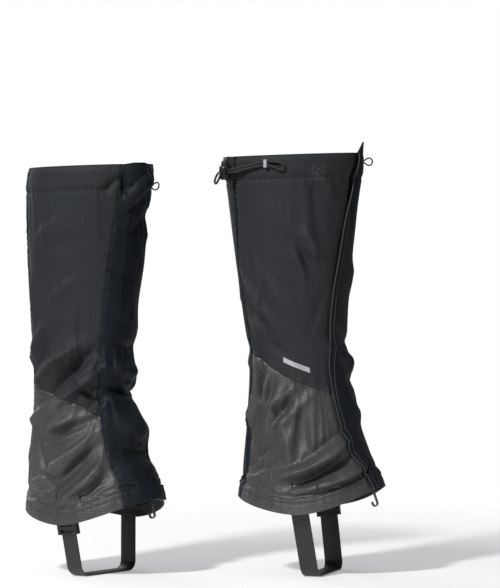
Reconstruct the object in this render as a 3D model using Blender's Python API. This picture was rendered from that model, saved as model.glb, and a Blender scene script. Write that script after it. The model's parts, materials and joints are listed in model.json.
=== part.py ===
"""A pair of front-opening hiking gaiters, each built as fabric panels, closures and fittings.

Frame: metres, +Z up, +X the way the wearer walks, +Y the wearer's left.
Origin: the centre of the left gaiter's top opening, where the leg fills it.

Each gaiter is laid out in its own leg coordinates: an angle round the leg in degrees (0 at the
shin, positive towards the other leg, 180 at the calf), a height above the ground in metres, and a
standoff from the outer face of the fabric. Both gaiters share the same seams and fittings, in
mirror image; only the shape that the leg inside gives them differs.
"""
import math

import bpy
import bmesh
from mathutils import Matrix, Vector

# ---------------------------------------------------------------- driving dimensions
TOP = 0.451              # top hem above the ground, at the shin
FABRIC = 0.0012          # thickness of one layer of fabric
SEAM_GAP = 0.0005        # half the gap between two panels at a seam
SEAM_GAP_DEG = 0.5       # the same half gap, as an angle round the leg
FLAP_STANDOFF = 0.0048   # the flap's inner face over the panel that it laps
STRIP = 0.0008           # thickness of the hook strip and of the loop strips
ANKLE = 0.236            # height where the flap divides into its two hinged halves
HEM_DEPTH = 0.028        # depth of the drawcord channel at the top hem
CORD = 0.0024            # diameter of the elastic drawcord
THIN_CORD = 0.0016       # diameter of the pull loop on the flap
STRAP_WIDTH = 0.020
STRAP = 0.0018           # thickness of the underfoot strap
STRAP_PIVOT = 0.076      # height of the line that the underfoot strap swings about

# Seams: (height, angle) pairs, read by smooth().
FLAP_EDGE = [(0.095, 20), (0.146, 30), (0.173, 34), (0.205, 38), (0.261, 33), (0.298, 29), (0.373, 19),
             (0.455, 4)]
FLAP_ROOT = [(0.090, 33), (0.160, 37), (0.195, 40), (0.260, 34), (0.330, 31), (0.451, 28)]
BACK_SEAM = [(0.070, 152), (0.200, 142), (0.260, 143), (0.330, 147), (0.380, 138), (0.450, 133)]
# The instep patches' top seams: (angle, height) pairs.
INNER_PATCH_TOP = [(30, 0.195), (65, 0.205), (95, 0.216), (120, 0.230), (146, 0.242)]
OUTER_PATCH_TOP = [(36, 0.183), (55, 0.195), (85, 0.206), (120, 0.214), (146, 0.232)]
FLAP_LAP_DEG = 22        # how far the flap laps over the inner panel
# Half width across the leg as a share of half length along it: (height, share) pairs.
WIDTH_SHARE = [(0.068, 0.76), (0.150, 0.82), (0.250, 0.90), (0.330, 0.84), (0.451, 0.80)]

# The shape each leg gives its gaiter: (height, half length along the foot, centre along the foot).
SIDES = {
    "left": {
        "inner": -1, "heading": math.radians(9.5), "stand": (0.0, 0.0), "drop": 0.0,
        "sections": [(0.068, 0.0850, 0.0085), (0.105, 0.0755, 0.0045), (0.138, 0.0670, 0.0000),
                     (0.170, 0.0600, -0.0040), (0.202, 0.0550, -0.0045), (0.240, 0.0512, -0.0085),
                     (0.267, 0.0530, -0.0119), (0.331, 0.0610, -0.0152), (0.396, 0.0690, -0.0158),
                     (0.451, 0.0740, -0.0175)],
    },
    "right": {
        "inner": 1, "heading": math.radians(-9.5), "stand": (-0.201, -0.105), "drop": 0.012,
        "sections": [(0.068, 0.0840, 0.0010), (0.115, 0.0770, -0.0030), (0.147, 0.0675, -0.0120),
                     (0.180, 0.0610, -0.0135), (0.206, 0.0572, -0.0165), (0.244, 0.0586, -0.0168),
                     (0.293, 0.0605, -0.0175), (0.357, 0.0674, -0.0148), (0.405, 0.0722, -0.0100),
                     (0.451, 0.0720, -0.0050)],
    },
}
FLAP_TIP_RISE = {"left": 0.012, "right": 0.002}   # how far the flap's top stands above the hem
NOTCH_SLOPE = {"left": 0.185, "right": 0.225}     # rise of each side of the notch between the flap's halves
NOTCH_METRES_PER_DEG = 0.00096                    # distance round the ankle for each degree

# ---------------------------------------------------------------- materials
COLOURS = {
    "calf_fabric": ((0.030, 0.036, 0.039), 0.78, 0.0),
    "stretch_fabric": ((0.014, 0.018, 0.024), 0.72, 0.0),
    "ripstop_fabric": ((0.060, 0.058, 0.056), 0.80, 0.0),
    "black_webbing": ((0.012, 0.012, 0.013), 0.75, 0.0),
    "strap_rubber": ((0.022, 0.022, 0.024), 0.45, 0.0),
    "black_plastic": ((0.015, 0.016, 0.017), 0.35, 0.0),
    "grey_plastic": ((0.45, 0.46, 0.47), 0.45, 0.0),
    "cord_black": ((0.014, 0.014, 0.015), 0.70, 0.0),
    "hook_and_loop": ((0.010, 0.010, 0.011), 0.95, 0.0),
    "dark_metal": ((0.10, 0.10, 0.105), 0.35, 1.0),
    "spring_steel": ((0.55, 0.55, 0.54), 0.30, 1.0),
    "reflective_print": ((0.55, 0.56, 0.57), 0.50, 0.0),
}


def material(name):
    """The Principled BSDF material of one finish, made once."""
    found = bpy.data.materials.get(name)
    if found:
        return found
    colour, roughness, metallic = COLOURS[name]
    made = bpy.data.materials.new(name)
    made.use_nodes = True
    shader = made.node_tree.nodes["Principled BSDF"]
    shader.inputs["Base Color"].default_value = (*colour, 1.0)
    shader.inputs["Roughness"].default_value = roughness
    shader.inputs["Metallic"].default_value = metallic
    return made


# ---------------------------------------------------------------- leg coordinates
def smooth(table, key, column=1):
    """Read a table at key along a smooth curve through its rows, level beyond its ends."""
    keys = [row[0] for row in table]
    values = [row[column] for row in table]
    if key <= keys[0]:
        return values[0]
    if key >= keys[-1]:
        return values[-1]
    i = max(n for n in range(len(keys) - 1) if keys[n] <= key)
    slopes = [(values[n + 1] - values[n]) / (keys[n + 1] - keys[n]) for n in range(len(keys) - 1)]
    start = slopes[i] if i == 0 else (slopes[i - 1] + slopes[i]) / 2
    end = slopes[i] if i == len(slopes) - 1 else (slopes[i] + slopes[i + 1]) / 2
    span = keys[i + 1] - keys[i]
    t = (key - keys[i]) / span
    return ((2 * t**3 - 3 * t**2 + 1) * values[i] + (t**3 - 2 * t**2 + t) * span * start
            + (3 * t**2 - 2 * t**3) * values[i + 1] + (t**3 - t**2) * span * end)


def plan_point(side, angle, height, standoff):
    """A point in the gaiter's own foot frame: x to the toe, y to the wearer's left, z up."""
    shape = SIDES[side]
    half_length = smooth(shape["sections"], height)
    half_width = half_length * smooth(WIDTH_SHARE, height)
    centre = smooth(shape["sections"], height, 2)
    c, s = math.cos(math.radians(angle)), math.sin(math.radians(angle))
    normal = Vector((c / half_length, s / half_width)).normalized()
    x = centre + half_length * c + standoff * normal.x
    y = shape["inner"] * (half_width * s + standoff * normal.y)
    return Vector((x, y, height - shape["drop"]))


def foot_to_world(side):
    """The matrix from a gaiter's foot frame to the pair's frame."""
    left = SIDES["left"]
    opening = Vector((left["sections"][-1][2], 0, TOP))
    origin = Matrix.Rotation(left["heading"], 4, "Z") @ opening
    shape = SIDES[side]
    stand = Vector((shape["stand"][0], shape["stand"][1], 0)) - origin
    return Matrix.Translation(stand) @ Matrix.Rotation(shape["heading"], 4, "Z")


def place(side, angle, height, standoff=0.0):
    """A point of the leg coordinates, in the pair's frame."""
    return foot_to_world(side) @ plan_point(side, angle, height, standoff)


def fitting_frame(side, angle, height, standoff, leaning=False):
    """Axes for a fitting: X round the leg, Y outward, Z upright, or leaning with the fabric."""
    turn, climb = 0.5, 0.003
    ahead = plan_point(side, angle + turn, height, standoff)
    behind = plan_point(side, angle - turn, height, standoff)
    along = (ahead - behind).normalized()
    up = Vector((0, 0, 1))
    if leaning:
        above = plan_point(side, angle, height + climb, standoff)
        up = above - plan_point(side, angle, height - climb, standoff)
        up.normalize()
    outside = plan_point(side, angle, height, standoff + climb) - plan_point(side, angle, height, standoff)
    outward = (outside - up * outside.dot(up)).normalized()
    along = (along - up * along.dot(up) - outward * along.dot(outward)).normalized()
    axes = Matrix((along, outward, up)).transposed().to_4x4()
    spot = plan_point(side, angle, height, standoff)
    return foot_to_world(side) @ Matrix.Translation(spot) @ axes


def lower_hem(angle):
    """Height of the bottom hem: lowest over the strap, higher over the laces and the heel."""
    lean = math.cos(math.radians(angle))
    rise = 0.027 if lean > 0 else 0.016
    return 0.068 + rise * abs(lean) ** 1.6


def upper_hem(angle):
    """Height of the top hem: a little lower at the calf than at the shin."""
    return TOP - 0.0025 * (1 - math.cos(math.radians(angle)))


def flap_edge(height):
    return smooth(FLAP_EDGE, height)


def flap_root(height):
    return -smooth(FLAP_ROOT, height)


def inner_panel_edge(height):
    """Front edge of the inner panels, under the flap."""
    return flap_edge(height) - FLAP_LAP_DEG


def back_seam(height):
    return smooth(BACK_SEAM, height)


def inner_patch_top(angle):
    return smooth(INNER_PATCH_TOP, angle)


def outer_patch_top(angle):
    return smooth(OUTER_PATCH_TOP, -angle)


# ---------------------------------------------------------------- mesh helpers
def add_object(name, shell, finish):
    """Make a mesh object of a closed bmesh, with its faces pointing out."""
    shell.normal_update()
    bmesh.ops.recalc_face_normals(shell, faces=shell.faces)
    if shell.calc_volume(signed=True) < 0:
        bmesh.ops.reverse_faces(shell, faces=shell.faces)
    mesh = bpy.data.meshes.new(name)
    shell.to_mesh(mesh)
    shell.free()
    mesh.materials.append(material(finish))
    mesh.shade_smooth()
    mesh.set_sharp_from_angle(angle=math.radians(40))
    made = bpy.data.objects.new(name, mesh)
    bpy.context.scene.collection.objects.link(made)
    return made


def ramp(value):
    """Rise smoothly from 0 to 1 as value goes from 0 to 1."""
    value = min(max(value, 0.0), 1.0)
    return value * value * (3 - 2 * value)


def cloth_patch(name, side, edges, levels, grid, finish, standoff=0.0, thickness=FABRIC, lift=None):
    """A closed piece of fabric between two edges (angle of height) and two levels (height of angle).

    standoff is the inner face's distance outside the panels' outer face, less one layer for the
    panels themselves; lift(u, v) adds to it.
    """
    columns, rows = grid
    shell = bmesh.new()
    layers = []
    for depth in (thickness, 0.0):
        layer = []
        for j in range(rows + 1):
            v = j / rows
            line = []
            for i in range(columns + 1):
                u = i / columns
                angle, height = patch_point(edges, levels, u, v)
                rise = lift(u, v) if lift else 0.0
                line.append(shell.verts.new(place(side, angle, height, standoff + depth + rise)))
            layer.append(line)
        layers.append(layer)
    outer, inner = layers
    for layer in layers:
        for j in range(rows):
            for i in range(columns):
                shell.faces.new((layer[j][i], layer[j][i + 1], layer[j + 1][i + 1], layer[j + 1][i]))
    for j in range(rows):
        for i in (0, columns):
            shell.faces.new((outer[j][i], outer[j + 1][i], inner[j + 1][i], inner[j][i]))
    for i in range(columns):
        for j in (0, rows):
            shell.faces.new((outer[j][i], outer[j][i + 1], inner[j][i + 1], inner[j][i]))
    return add_object(name, shell, finish)


def patch_point(edges, levels, u, v):
    """Angle and height at the share u across and v up a patch, clear of its seams."""
    angle = height = 0.0
    height = TOP / 2
    for _ in range(6):
        low, high = edges[0](height) + SEAM_GAP_DEG, edges[1](height) - SEAM_GAP_DEG
        angle = low + (high - low) * u
        bottom, top = levels[0](angle) + SEAM_GAP, levels[1](angle) - SEAM_GAP
        height = bottom + (top - bottom) * v
    return angle, height


def box_bmesh(shell, low, high):
    """Add a box between two corners."""
    made = bmesh.ops.create_cube(shell, size=1.0)
    size = Vector(high) - Vector(low)
    middle = (Vector(high) + Vector(low)) / 2
    bmesh.ops.scale(shell, vec=size, verts=made["verts"])
    bmesh.ops.translate(shell, vec=middle, verts=made["verts"])


def box_object(name, low, high, finish, frame):
    """A box given in a fitting's frame."""
    shell = bmesh.new()
    box_bmesh(shell, low, high)
    shell.transform(frame)
    return add_object(name, shell, finish)


def turned(name, profile, finish, frame, sides=16):
    """A solid or a ring turned about the frame's Z from (radius, height) points, closed round."""
    shell = bmesh.new()
    rings = []
    for radius, height in profile:
        if radius == 0:
            rings.append([shell.verts.new((0, 0, height))])
            continue
        ring = []
        for n in range(sides):
            turn = 2 * math.pi * n / sides
            ring.append(shell.verts.new((radius * math.cos(turn), radius * math.sin(turn), height)))
        rings.append(ring)
    closed = profile[0][0] != 0
    for k in range(len(rings) if closed else len(rings) - 1):
        one, two = rings[k], rings[(k + 1) % len(rings)]
        for n in range(sides):
            m = (n + 1) % sides
            corners = [one[n % len(one)], one[m % len(one)], two[m % len(two)], two[n % len(two)]]
            shell.faces.new(list(dict.fromkeys(corners)))
    shell.transform(frame)
    return add_object(name, shell, finish)


def extruded(name, outline, half_depth, finish, frame, axis="Y"):
    """A prism: an outline of (a, b) points, pushed both ways along the frame's Y or X."""
    shell = bmesh.new()
    ends = []
    for depth in (-half_depth, half_depth):
        points = [(a, depth, b) if axis == "Y" else (depth, a, b) for a, b in outline]
        ends.append([shell.verts.new(point) for point in points])
    count = len(outline)
    for end in ends:
        shell.faces.new(end)
    for n in range(count):
        m = (n + 1) % count
        shell.faces.new((ends[0][n], ends[0][m], ends[1][m], ends[1][n]))
    shell.transform(frame)
    return add_object(name, shell, finish)


def cut(target, cutter):
    """Take the cutter out of the target, and remove the cutter."""
    tool = target.modifiers.new("cut", "BOOLEAN")
    tool.operation = "DIFFERENCE"
    tool.object = cutter
    graph = bpy.context.evaluated_depsgraph_get()
    graph.update()
    result = bpy.data.meshes.new_from_object(target.evaluated_get(graph))
    target.modifiers.clear()
    target.data = result
    bpy.data.objects.remove(cutter)


def smooth_route(points, spacing):
    """Points every spacing or so along a smooth curve through the route's own points."""
    padded = [2 * points[0] - points[1], *points, 2 * points[-1] - points[-2]]
    fine = []
    for n in range(1, len(padded) - 2):
        p0, p1, p2, p3 = padded[n - 1:n + 3]
        steps = max(1, round((p2 - p1).length / spacing))
        for k in range(steps):
            t = k / steps
            fine.append(0.5 * (2 * p1 + (p2 - p0) * t + (2 * p0 - 5 * p1 + 4 * p2 - p3) * t**2
                               + (3 * p1 - p0 - 3 * p2 + p3) * t**3))
    fine.append(points[-1].copy())
    return fine


def cord_tube(name, points, diameter, finish, resolution=2):
    """A round cord along the given points."""
    curve = bpy.data.curves.new(name, "CURVE")
    curve.dimensions = "3D"
    curve.bevel_depth = diameter / 2
    curve.bevel_resolution = resolution
    curve.render_resolution_u = 0
    curve.use_fill_caps = True
    spline = curve.splines.new("POLY")
    spline.points.add(len(points) - 1)
    for slot, point in zip(spline.points, points):
        slot.co = (*point, 1.0)
    curve.materials.append(material(finish))
    made = bpy.data.objects.new(name, curve)
    bpy.context.scene.collection.objects.link(made)
    return made


# ---------------------------------------------------------------- fabric
def panels(side):
    """The five sewn panels of the leg tube, with the bands sewn inside them."""
    outer_edges = (lambda h: -back_seam(h), flap_root)
    inner_edges = (inner_panel_edge, back_seam)
    back_edges = (back_seam, lambda h: 360 - back_seam(h))
    cloth_patch(side + "_inner_calf_panel", side, inner_edges, (inner_patch_top, upper_hem),
                (10, 10), "calf_fabric", -FABRIC)
    cloth_patch(side + "_outer_calf_panel", side, outer_edges, (outer_patch_top, upper_hem),
                (9, 10), "calf_fabric", -FABRIC)
    cloth_patch(side + "_inner_instep_patch", side, inner_edges, (lower_hem, inner_patch_top),
                (10, 7), "ripstop_fabric", -FABRIC)
    cloth_patch(side + "_outer_instep_patch", side, outer_edges, (lower_hem, outer_patch_top),
                (9, 7), "ripstop_fabric", -FABRIC)
    cloth_patch(side + "_back_panel", side, back_edges, (lower_hem, upper_hem),
                (6, 16), "stretch_fabric", -FABRIC)


def inner_bands(side):
    """The drawcord channel's facing, the bottom hem's tape and the ankle elastic."""
    channel_edges = (lambda h: inner_panel_edge(TOP) + 2, lambda h: 358 + flap_root(TOP))
    hem_edges = (lambda h: inner_panel_edge(0.1) + 3, lambda h: 357 + flap_root(0.1))
    facing = FABRIC + CORD + 0.0024 + STRIP
    cloth_patch(side + "_top_hem_facing", side, channel_edges,
                (lambda a: upper_hem(a) - HEM_DEPTH, upper_hem), (24, 1), "calf_fabric", -facing, STRIP)
    cloth_patch(side + "_bottom_hem_tape", side, hem_edges,
                (lower_hem, lambda a: lower_hem(a) + 0.011), (26, 1), "black_webbing", -0.0040, STRIP)
    cloth_patch(side + "_ankle_elastic", side, (lambda h: 95, lambda h: 265),
                (lambda a: ANKLE + 0.012, lambda a: ANKLE + 0.030), (12, 1), "black_webbing", -0.0034, 0.0012)


def notch(side, angle, start=0.0004):
    """How far each flap half stops short of the ankle line, which lets both swing clear."""
    return start + NOTCH_SLOPE[side] * NOTCH_METRES_PER_DEG * max(angle - flap_root(ANKLE), 0.0)


def flap_halves(side):
    """The front flap: rooted on the outer seam, lapping the inner panel, in two hinged halves.

    The seam bends at the ankle, so the halves' hinge lines lean apart. The notch between the
    halves is the cloth that folds away there when the flap opens.
    """
    tip = FLAP_TIP_RISE[side]

    def top(angle):
        return upper_hem(angle) + tip * ramp((angle + 26) / 12) * ramp((6 - angle) / 12)

    def lift(u, v):
        return (FLAP_STANDOFF + FABRIC) * ramp(u / 0.35)

    edges = (lambda h: flap_root(h) + 1.0, flap_edge)
    cloth_patch(side + "_flap_upper", side, edges, (lambda a: ANKLE + notch(side, a), top),
                (8, 10), "stretch_fabric", -FABRIC, FABRIC, lift)
    cloth_patch(side + "_flap_lower", side, edges, (lower_hem, lambda a: ANKLE - notch(side, a)),
                (8, 8), "stretch_fabric", -FABRIC, FABRIC, lift)


def hook_and_loop(side):
    """The hook strip on the inner panel, and the loop strips under the two flap halves."""
    strip_edges = (lambda h: inner_panel_edge(h) + 2, lambda h: flap_edge(h) - 2.5)
    low, high = (lambda a: lower_hem(a) + 0.006), (lambda a: upper_hem(a) - 0.006)
    cloth_patch(side + "_hook_strip", side, strip_edges, (low, high), (2, 18), "hook_and_loop", 0.0010, STRIP)
    loop = 0.0010 + STRIP + 0.0010
    above = (lambda a: ANKLE + notch(side, a, 0.004)), high
    below = low, (lambda a: ANKLE - notch(side, a, 0.004))
    cloth_patch(side + "_loop_strip_upper", side, strip_edges, above,
                (2, 10), "hook_and_loop", loop, STRIP)
    cloth_patch(side + "_loop_strip_lower", side, strip_edges, below,
                (2, 8), "hook_and_loop", loop, STRIP)


def reflective_mark(side):
    """A plain reflective bar printed on the inner calf panel, along the instep patch's seam."""
    levels = (lambda a: inner_patch_top(a) + 0.0150, lambda a: inner_patch_top(a) + 0.0205)
    cloth_patch(side + "_reflective_bar", side, (lambda h: 62, lambda h: 93), levels,
                (4, 1), "reflective_print", 0.0005, 0.0004)


# ---------------------------------------------------------------- drawcord and its lock
LOCK_ANGLE, LOCK_HEIGHT, LOCK_STANDOFF = 136, 0.4315, 0.0105
LOCK_HOLE = (0.0025, 0.0034)      # half width and half height of the hole that both strands share
BUTTON_TRAVEL = 0.0024
KEEPER_ANGLE, KEEPER_HEIGHT, KEEPER_STANDOFF = 96, 0.4400, 0.0040
# The loop outside the hem, as (angle, height, standoff) points chosen by hand.
DRAWCORD_ROUTE = [
    (157, 0.4330, 0.0006), (158, 0.4325, 0.0040), (159.5, 0.4290, 0.0085), (159, 0.4235, 0.0118),
    (156, 0.4195, 0.0132), (151.5, 0.4190, 0.0128), (147.5, 0.4232, 0.0115), (144, 0.4281, 0.0107),
    (140.5, 0.4299, 0.0106), (136, 0.4300, 0.0105), (130, 0.4305, 0.0098), (122, 0.4320, 0.0075),
    (113, 0.4345, 0.0052), (104, 0.4372, 0.0042), (96, 0.4385, 0.0040), (90, 0.4368, 0.0041),
    (85.5, 0.4338, 0.0044), (82.2, 0.4340, 0.0046), (81.2, 0.4372, 0.0046), (83.5, 0.4408, 0.0045),
    (88.5, 0.4420, 0.0042), (96, 0.4416, 0.0040), (104, 0.4402, 0.0042), (113, 0.4378, 0.0052),
    (122, 0.4353, 0.0075), (130, 0.4334, 0.0098), (136, 0.4330, 0.0105), (140.5, 0.4330, 0.0105),
    (144.5, 0.4332, 0.0090), (148, 0.4334, 0.0062), (150.8, 0.4332, 0.0036), (151.8, 0.4330, 0.0006),
]


def drawcord(side):
    """The elastic cord: its run inside the channel, and the loop outside with its keeper."""
    inside = -(FABRIC + CORD / 2 + 0.0012)
    start, stop = inner_panel_edge(TOP) + 6, 354 + flap_root(TOP)
    count = 36
    ring = [place(side, start + (stop - start) * n / count, 0.4335, inside) for n in range(count + 1)]
    cord_tube(side + "_drawcord", ring, CORD, "cord_black")
    route = [place(side, *point) for point in DRAWCORD_ROUTE]
    cord_tube(side + "_drawcord_loop", smooth_route(route, 2.2 * CORD), CORD, "cord_black")
    keeper = fitting_frame(side, KEEPER_ANGLE, KEEPER_HEIGHT, KEEPER_STANDOFF)
    body = box_object(side + "_cord_keeper", (-0.0017, -0.0028, -0.0042), (0.0017, 0.0028, 0.0042),
                      "grey_plastic", keeper)
    cut(body, box_object("keeper_hole", (-0.01, -0.0019, -0.0034), (0.01, 0.0019, 0.0034),
                         "grey_plastic", keeper))


def cord_lock(side):
    """The spring lock: a barrel, its button, the spring under it and the tab that holds it."""
    frame = fitting_frame(side, LOCK_ANGLE, LOCK_HEIGHT, LOCK_STANDOFF)
    width, height = LOCK_HOLE
    hole_low, hole_high = (-0.02, -width, -height), (0.02, width, height)
    barrel = turned(side + "_cord_lock_barrel",
                    [(0, -0.0090), (0.0040, -0.0088), (0.0058, -0.0072), (0.0064, -0.0045),
                     (0.0064, 0.0030), (0.0058, 0.0056), (0.0049, 0.0062), (0.0045, 0.0060),
                     (0.0045, -0.0074), (0, -0.0074)], "black_plastic", frame)
    cut(barrel, box_object("barrel_hole", hole_low, hole_high, "black_plastic", frame))
    button = turned(side + "_cord_lock_button",
                    [(0, -0.0044), (0.0040, -0.0044), (0.0041, -0.0040), (0.0041, 0.0090),
                     (0.0036, 0.0108), (0.0020, 0.0118), (0, 0.0121)], "black_plastic", frame)
    slot_high = (0.02, width, height + BUTTON_TRAVEL)
    cut(button, box_object("button_slot", (-0.02, -width, -height), slot_high, "black_plastic", frame))
    turns, radius, wire, steps = 2.5, 0.0029, 0.0005, 26
    low, high = -0.0074 + wire, -0.0044 - wire
    coil = []
    for n in range(steps + 1):
        turn = 2 * math.pi * turns * n / steps
        lift = low + (high - low) * n / steps
        coil.append(frame @ Vector((radius * math.cos(turn), radius * math.sin(turn), lift)))
    cord_tube(side + "_cord_lock_spring", coil, wire, "spring_steel", resolution=1)
    tab = [(-0.0075, -0.0110), (0.0075, -0.0110), (0.0075, 0.0130), (-0.0075, 0.0130)]
    spot = fitting_frame(side, LOCK_ANGLE, LOCK_HEIGHT + 0.003, 0.0022)
    extruded(side + "_cord_lock_tab", tab, 0.0008, "black_webbing", spot)
    eyelet_spot = fitting_frame(side, 154.4, 0.4331, 0.0011) @ Matrix.Rotation(math.pi / 2, 4, "X")
    ring = turned(side + "_cord_eyelet", [(0.0078, -0.0006), (0.0078, 0.0006), (0.0056, 0.0006),
                                          (0.0056, -0.0006)], "dark_metal", Matrix.Scale(0.62, 4, (0, 1, 0)))
    ring.data.transform(eyelet_spot)
    if eyelet_spot.determinant() < 0:
        ring.data.flip_normals()


# ---------------------------------------------------------------- pull loop and lace hook
# The pull loop, a teardrop that stands out from the flap: (round, up, out) offsets in millimetres.
PULL_LOOP = [(0, 0, 0.4), (0, 0.5, 2.4), (0, 1.7, 4.6), (0, 3.1, 6.8), (-0.2, 3.9, 9.1), (-0.6, 3.3, 11.3),
             (-1.2, 1.2, 12.6), (-1.6, -1.4, 12.4), (-2.0, -3.4, 10.7), (-2.3, -3.9, 8.3), (-2.4, -3.1, 5.9),
             (-2.4, -1.5, 3.9), (-2.4, -0.3, 2.1), (-2.4, 0, 0.4)]
PULL_LOOP_SPOT = {"left": (2, 0.4420), "right": (5, 0.4280)}


def pull_loop(side):
    """The thin cord loop sewn to the flap's top, for pulling it open."""
    spot = fitting_frame(side, *PULL_LOOP_SPOT[side], FLAP_STANDOFF + FABRIC)
    route = [spot @ Vector((a, out, up)) for a, up, out in
             [(a / 1000, up / 1000, out / 1000) for a, up, out in PULL_LOOP]]
    cord_tube(side + "_flap_pull_loop", smooth_route(route, 1.8 * THIN_CORD), THIN_CORD, "cord_black")


LACE_HOOK_SPOT = (8, 0.092)


def lace_hook(side):
    """The wire hook that catches the boot's laces, and the webbing tab that it hangs from."""
    spot = fitting_frame(side, *LACE_HOOK_SPOT, -0.0068, leaning=True)
    tab = [(-0.0045, -0.0010), (0.0045, -0.0010), (0.0045, 0.0240), (-0.0045, 0.0240)]
    extruded(side + "_lace_hook_tab", tab, 0.0006, "black_webbing", spot)
    profile = [(0.0006, -0.0026), (0.0006, -0.0160), (-0.0012, -0.0180), (-0.0036, -0.0184),
               (-0.0058, -0.0170), (-0.0064, -0.0150), (-0.0064, -0.0122), (-0.0052, -0.0122),
               (-0.0052, -0.0148), (-0.0046, -0.0162), (-0.0034, -0.0170), (-0.0018, -0.0166),
               (-0.0006, -0.0154), (-0.0006, -0.0026)]
    extruded(side + "_lace_hook", profile, 0.0018, "dark_metal", spot, axis="X")


# ---------------------------------------------------------------- underfoot strap
STRAP_HALF = 0.0520       # half the span between the strap's two legs at their tops
STRAP_BELOW_PIVOT = 0.004 # how far under its pivot line the strap's ends stop
STRAP_FLAT = 0.034        # half the flat run under the arch
STRAP_CURVE = 0.012       # radius where the strap turns under the sole
STRAP_FORWARD = {"left": (0.009, 0.010), "right": (0.004, 0.006)}   # place at the hem, then lean


def strap_line(drop):
    """The strap's middle line as (across, height) points, from the outer leg to the inner."""
    base = STRAP / 2
    half = []
    for n in range(5):
        turn = math.radians(72) * n / 4
        half.append((STRAP_FLAT + STRAP_CURVE * math.sin(turn), base + STRAP_CURVE * (1 - math.cos(turn))))
    half.append((STRAP_HALF, STRAP_PIVOT - drop - STRAP_BELOW_PIVOT))
    line = [(-across, height) for across, height in reversed(half)] + half
    return line


def underfoot_strap(side):
    """The U of the strap, which hangs from its two anchors and passes under the sole."""
    drop = SIDES[side]["drop"]
    start, lean = STRAP_FORWARD[side]
    line = strap_line(drop)
    inner_sign = SIDES[side]["inner"]
    world = foot_to_world(side)
    top = line[0][1]
    shell = bmesh.new()
    rows = []
    for n, (across, height) in enumerate(line):
        before, after = line[max(n - 1, 0)], line[min(n + 1, len(line) - 1)]
        slope = Vector((after[0] - before[0], after[1] - before[1])).normalized()
        normal = Vector((slope.y, -slope.x)) * STRAP / 2
        forward = start + lean * (top - height) / top
        row = []
        for edge, face in ((-1, -1), (1, -1), (1, 1), (-1, 1)):
            x = forward + edge * STRAP_WIDTH / 2
            point = Vector((x, inner_sign * (across + face * normal.x), height + face * normal.y))
            row.append(shell.verts.new(world @ point))
        rows.append(row)
    for one, two in zip(rows, rows[1:]):
        for k in range(4):
            shell.faces.new((one[k], one[(k + 1) % 4], two[(k + 1) % 4], two[k]))
    shell.faces.new(rows[0])
    shell.faces.new(list(reversed(rows[-1])))
    add_object(side + "_underfoot_strap", shell, "strap_rubber")


def leg_frame(side, which):
    """Axes on a strap leg's top: X forward, Y outward, Z up along the leg."""
    drop = SIDES[side]["drop"]
    line = strap_line(drop)
    (low_y, low_z), (high_y, high_z) = line[-2], line[-1]
    start, lean = STRAP_FORWARD[side]
    sign = SIDES[side]["inner"] * (1 if which == "inner" else -1)
    up = Vector((-lean * (high_z - low_z) / high_z, sign * (high_y - low_y), high_z - low_z)).normalized()
    forward = Vector((1, 0, 0))
    outward = up.cross(forward).normalized()
    if outward.y * sign < 0:
        outward.negate()
    forward = (forward - up * forward.dot(up)).normalized()
    top = Vector((start, sign * high_y, high_z))
    axes = Matrix((forward, outward, up)).transposed().to_4x4()
    return foot_to_world(side) @ Matrix.Translation(top) @ axes


def strap_fittings(side):
    """The ladder buckle on the strap's outer leg, and the webbing anchors over both legs."""
    outer = leg_frame(side, "outer")
    half = STRAP_WIDTH / 2
    buckle = box_object(side + "_strap_buckle", (-half - 0.0030, -0.0030, -0.0150),
                        (half + 0.0030, 0.0030, -0.0004), "black_plastic", outer)
    passage = box_object("passage", (-half - 0.0004, -0.0014, -0.03), (half + 0.0004, 0.0014, 0.01),
                         "black_plastic", outer)
    cut(buckle, passage)
    for low, high in ((-0.0062, -0.0026), (-0.0128, -0.0092)):
        cut(buckle, box_object("window", (-half + 0.0010, 0.0004, low), (half - 0.0010, 0.01, high),
                               "black_plastic", outer))
    for which in ("inner", "outer"):
        pivot = leg_frame(side, which).translation + Vector((0, 0, STRAP_BELOW_PIVOT))
        frame = Matrix.Translation(pivot) @ Matrix.Rotation(SIDES[side]["heading"], 4, "Z")
        tab = [(-0.0060, 0.0008), (0.0060, 0.0008), (0.0145, 0.0085), (0.0145, 0.0240),
               (-0.0145, 0.0240), (-0.0145, 0.0085)]
        extruded(side + "_strap_anchor_" + which, tab, 0.0007, "black_webbing", frame)


# ---------------------------------------------------------------- assembly
def build_gaiter(side):
    panels(side)
    inner_bands(side)
    flap_halves(side)
    hook_and_loop(side)
    reflective_mark(side)
    drawcord(side)
    cord_lock(side)
    pull_loop(side)
    lace_hook(side)
    underfoot_strap(side)
    strap_fittings(side)


def main():
    for old in list(bpy.data.objects):
        bpy.data.objects.remove(old)
    for side in SIDES:
        build_gaiter(side)


main()
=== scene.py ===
"""Looks of a pair of hiking gaiters: simulated fabric, stitching, cords, webbing and fittings.

The fabric of each gaiter is laid out in leg coordinates, as in the CAD: an angle round the leg in
degrees (0 at the shin, positive towards the other leg), a height above the ground and a standoff
from the fabric's outer face. One tube per gaiter is folded and run through Cloth; every panel,
stitch row, tape and binding is then laid on that simulated surface.
"""
import json
import math

import bmesh
import bpy
import numpy as np
from mathutils import Matrix, Vector
from mathutils.bvhtree import BVHTree


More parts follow.
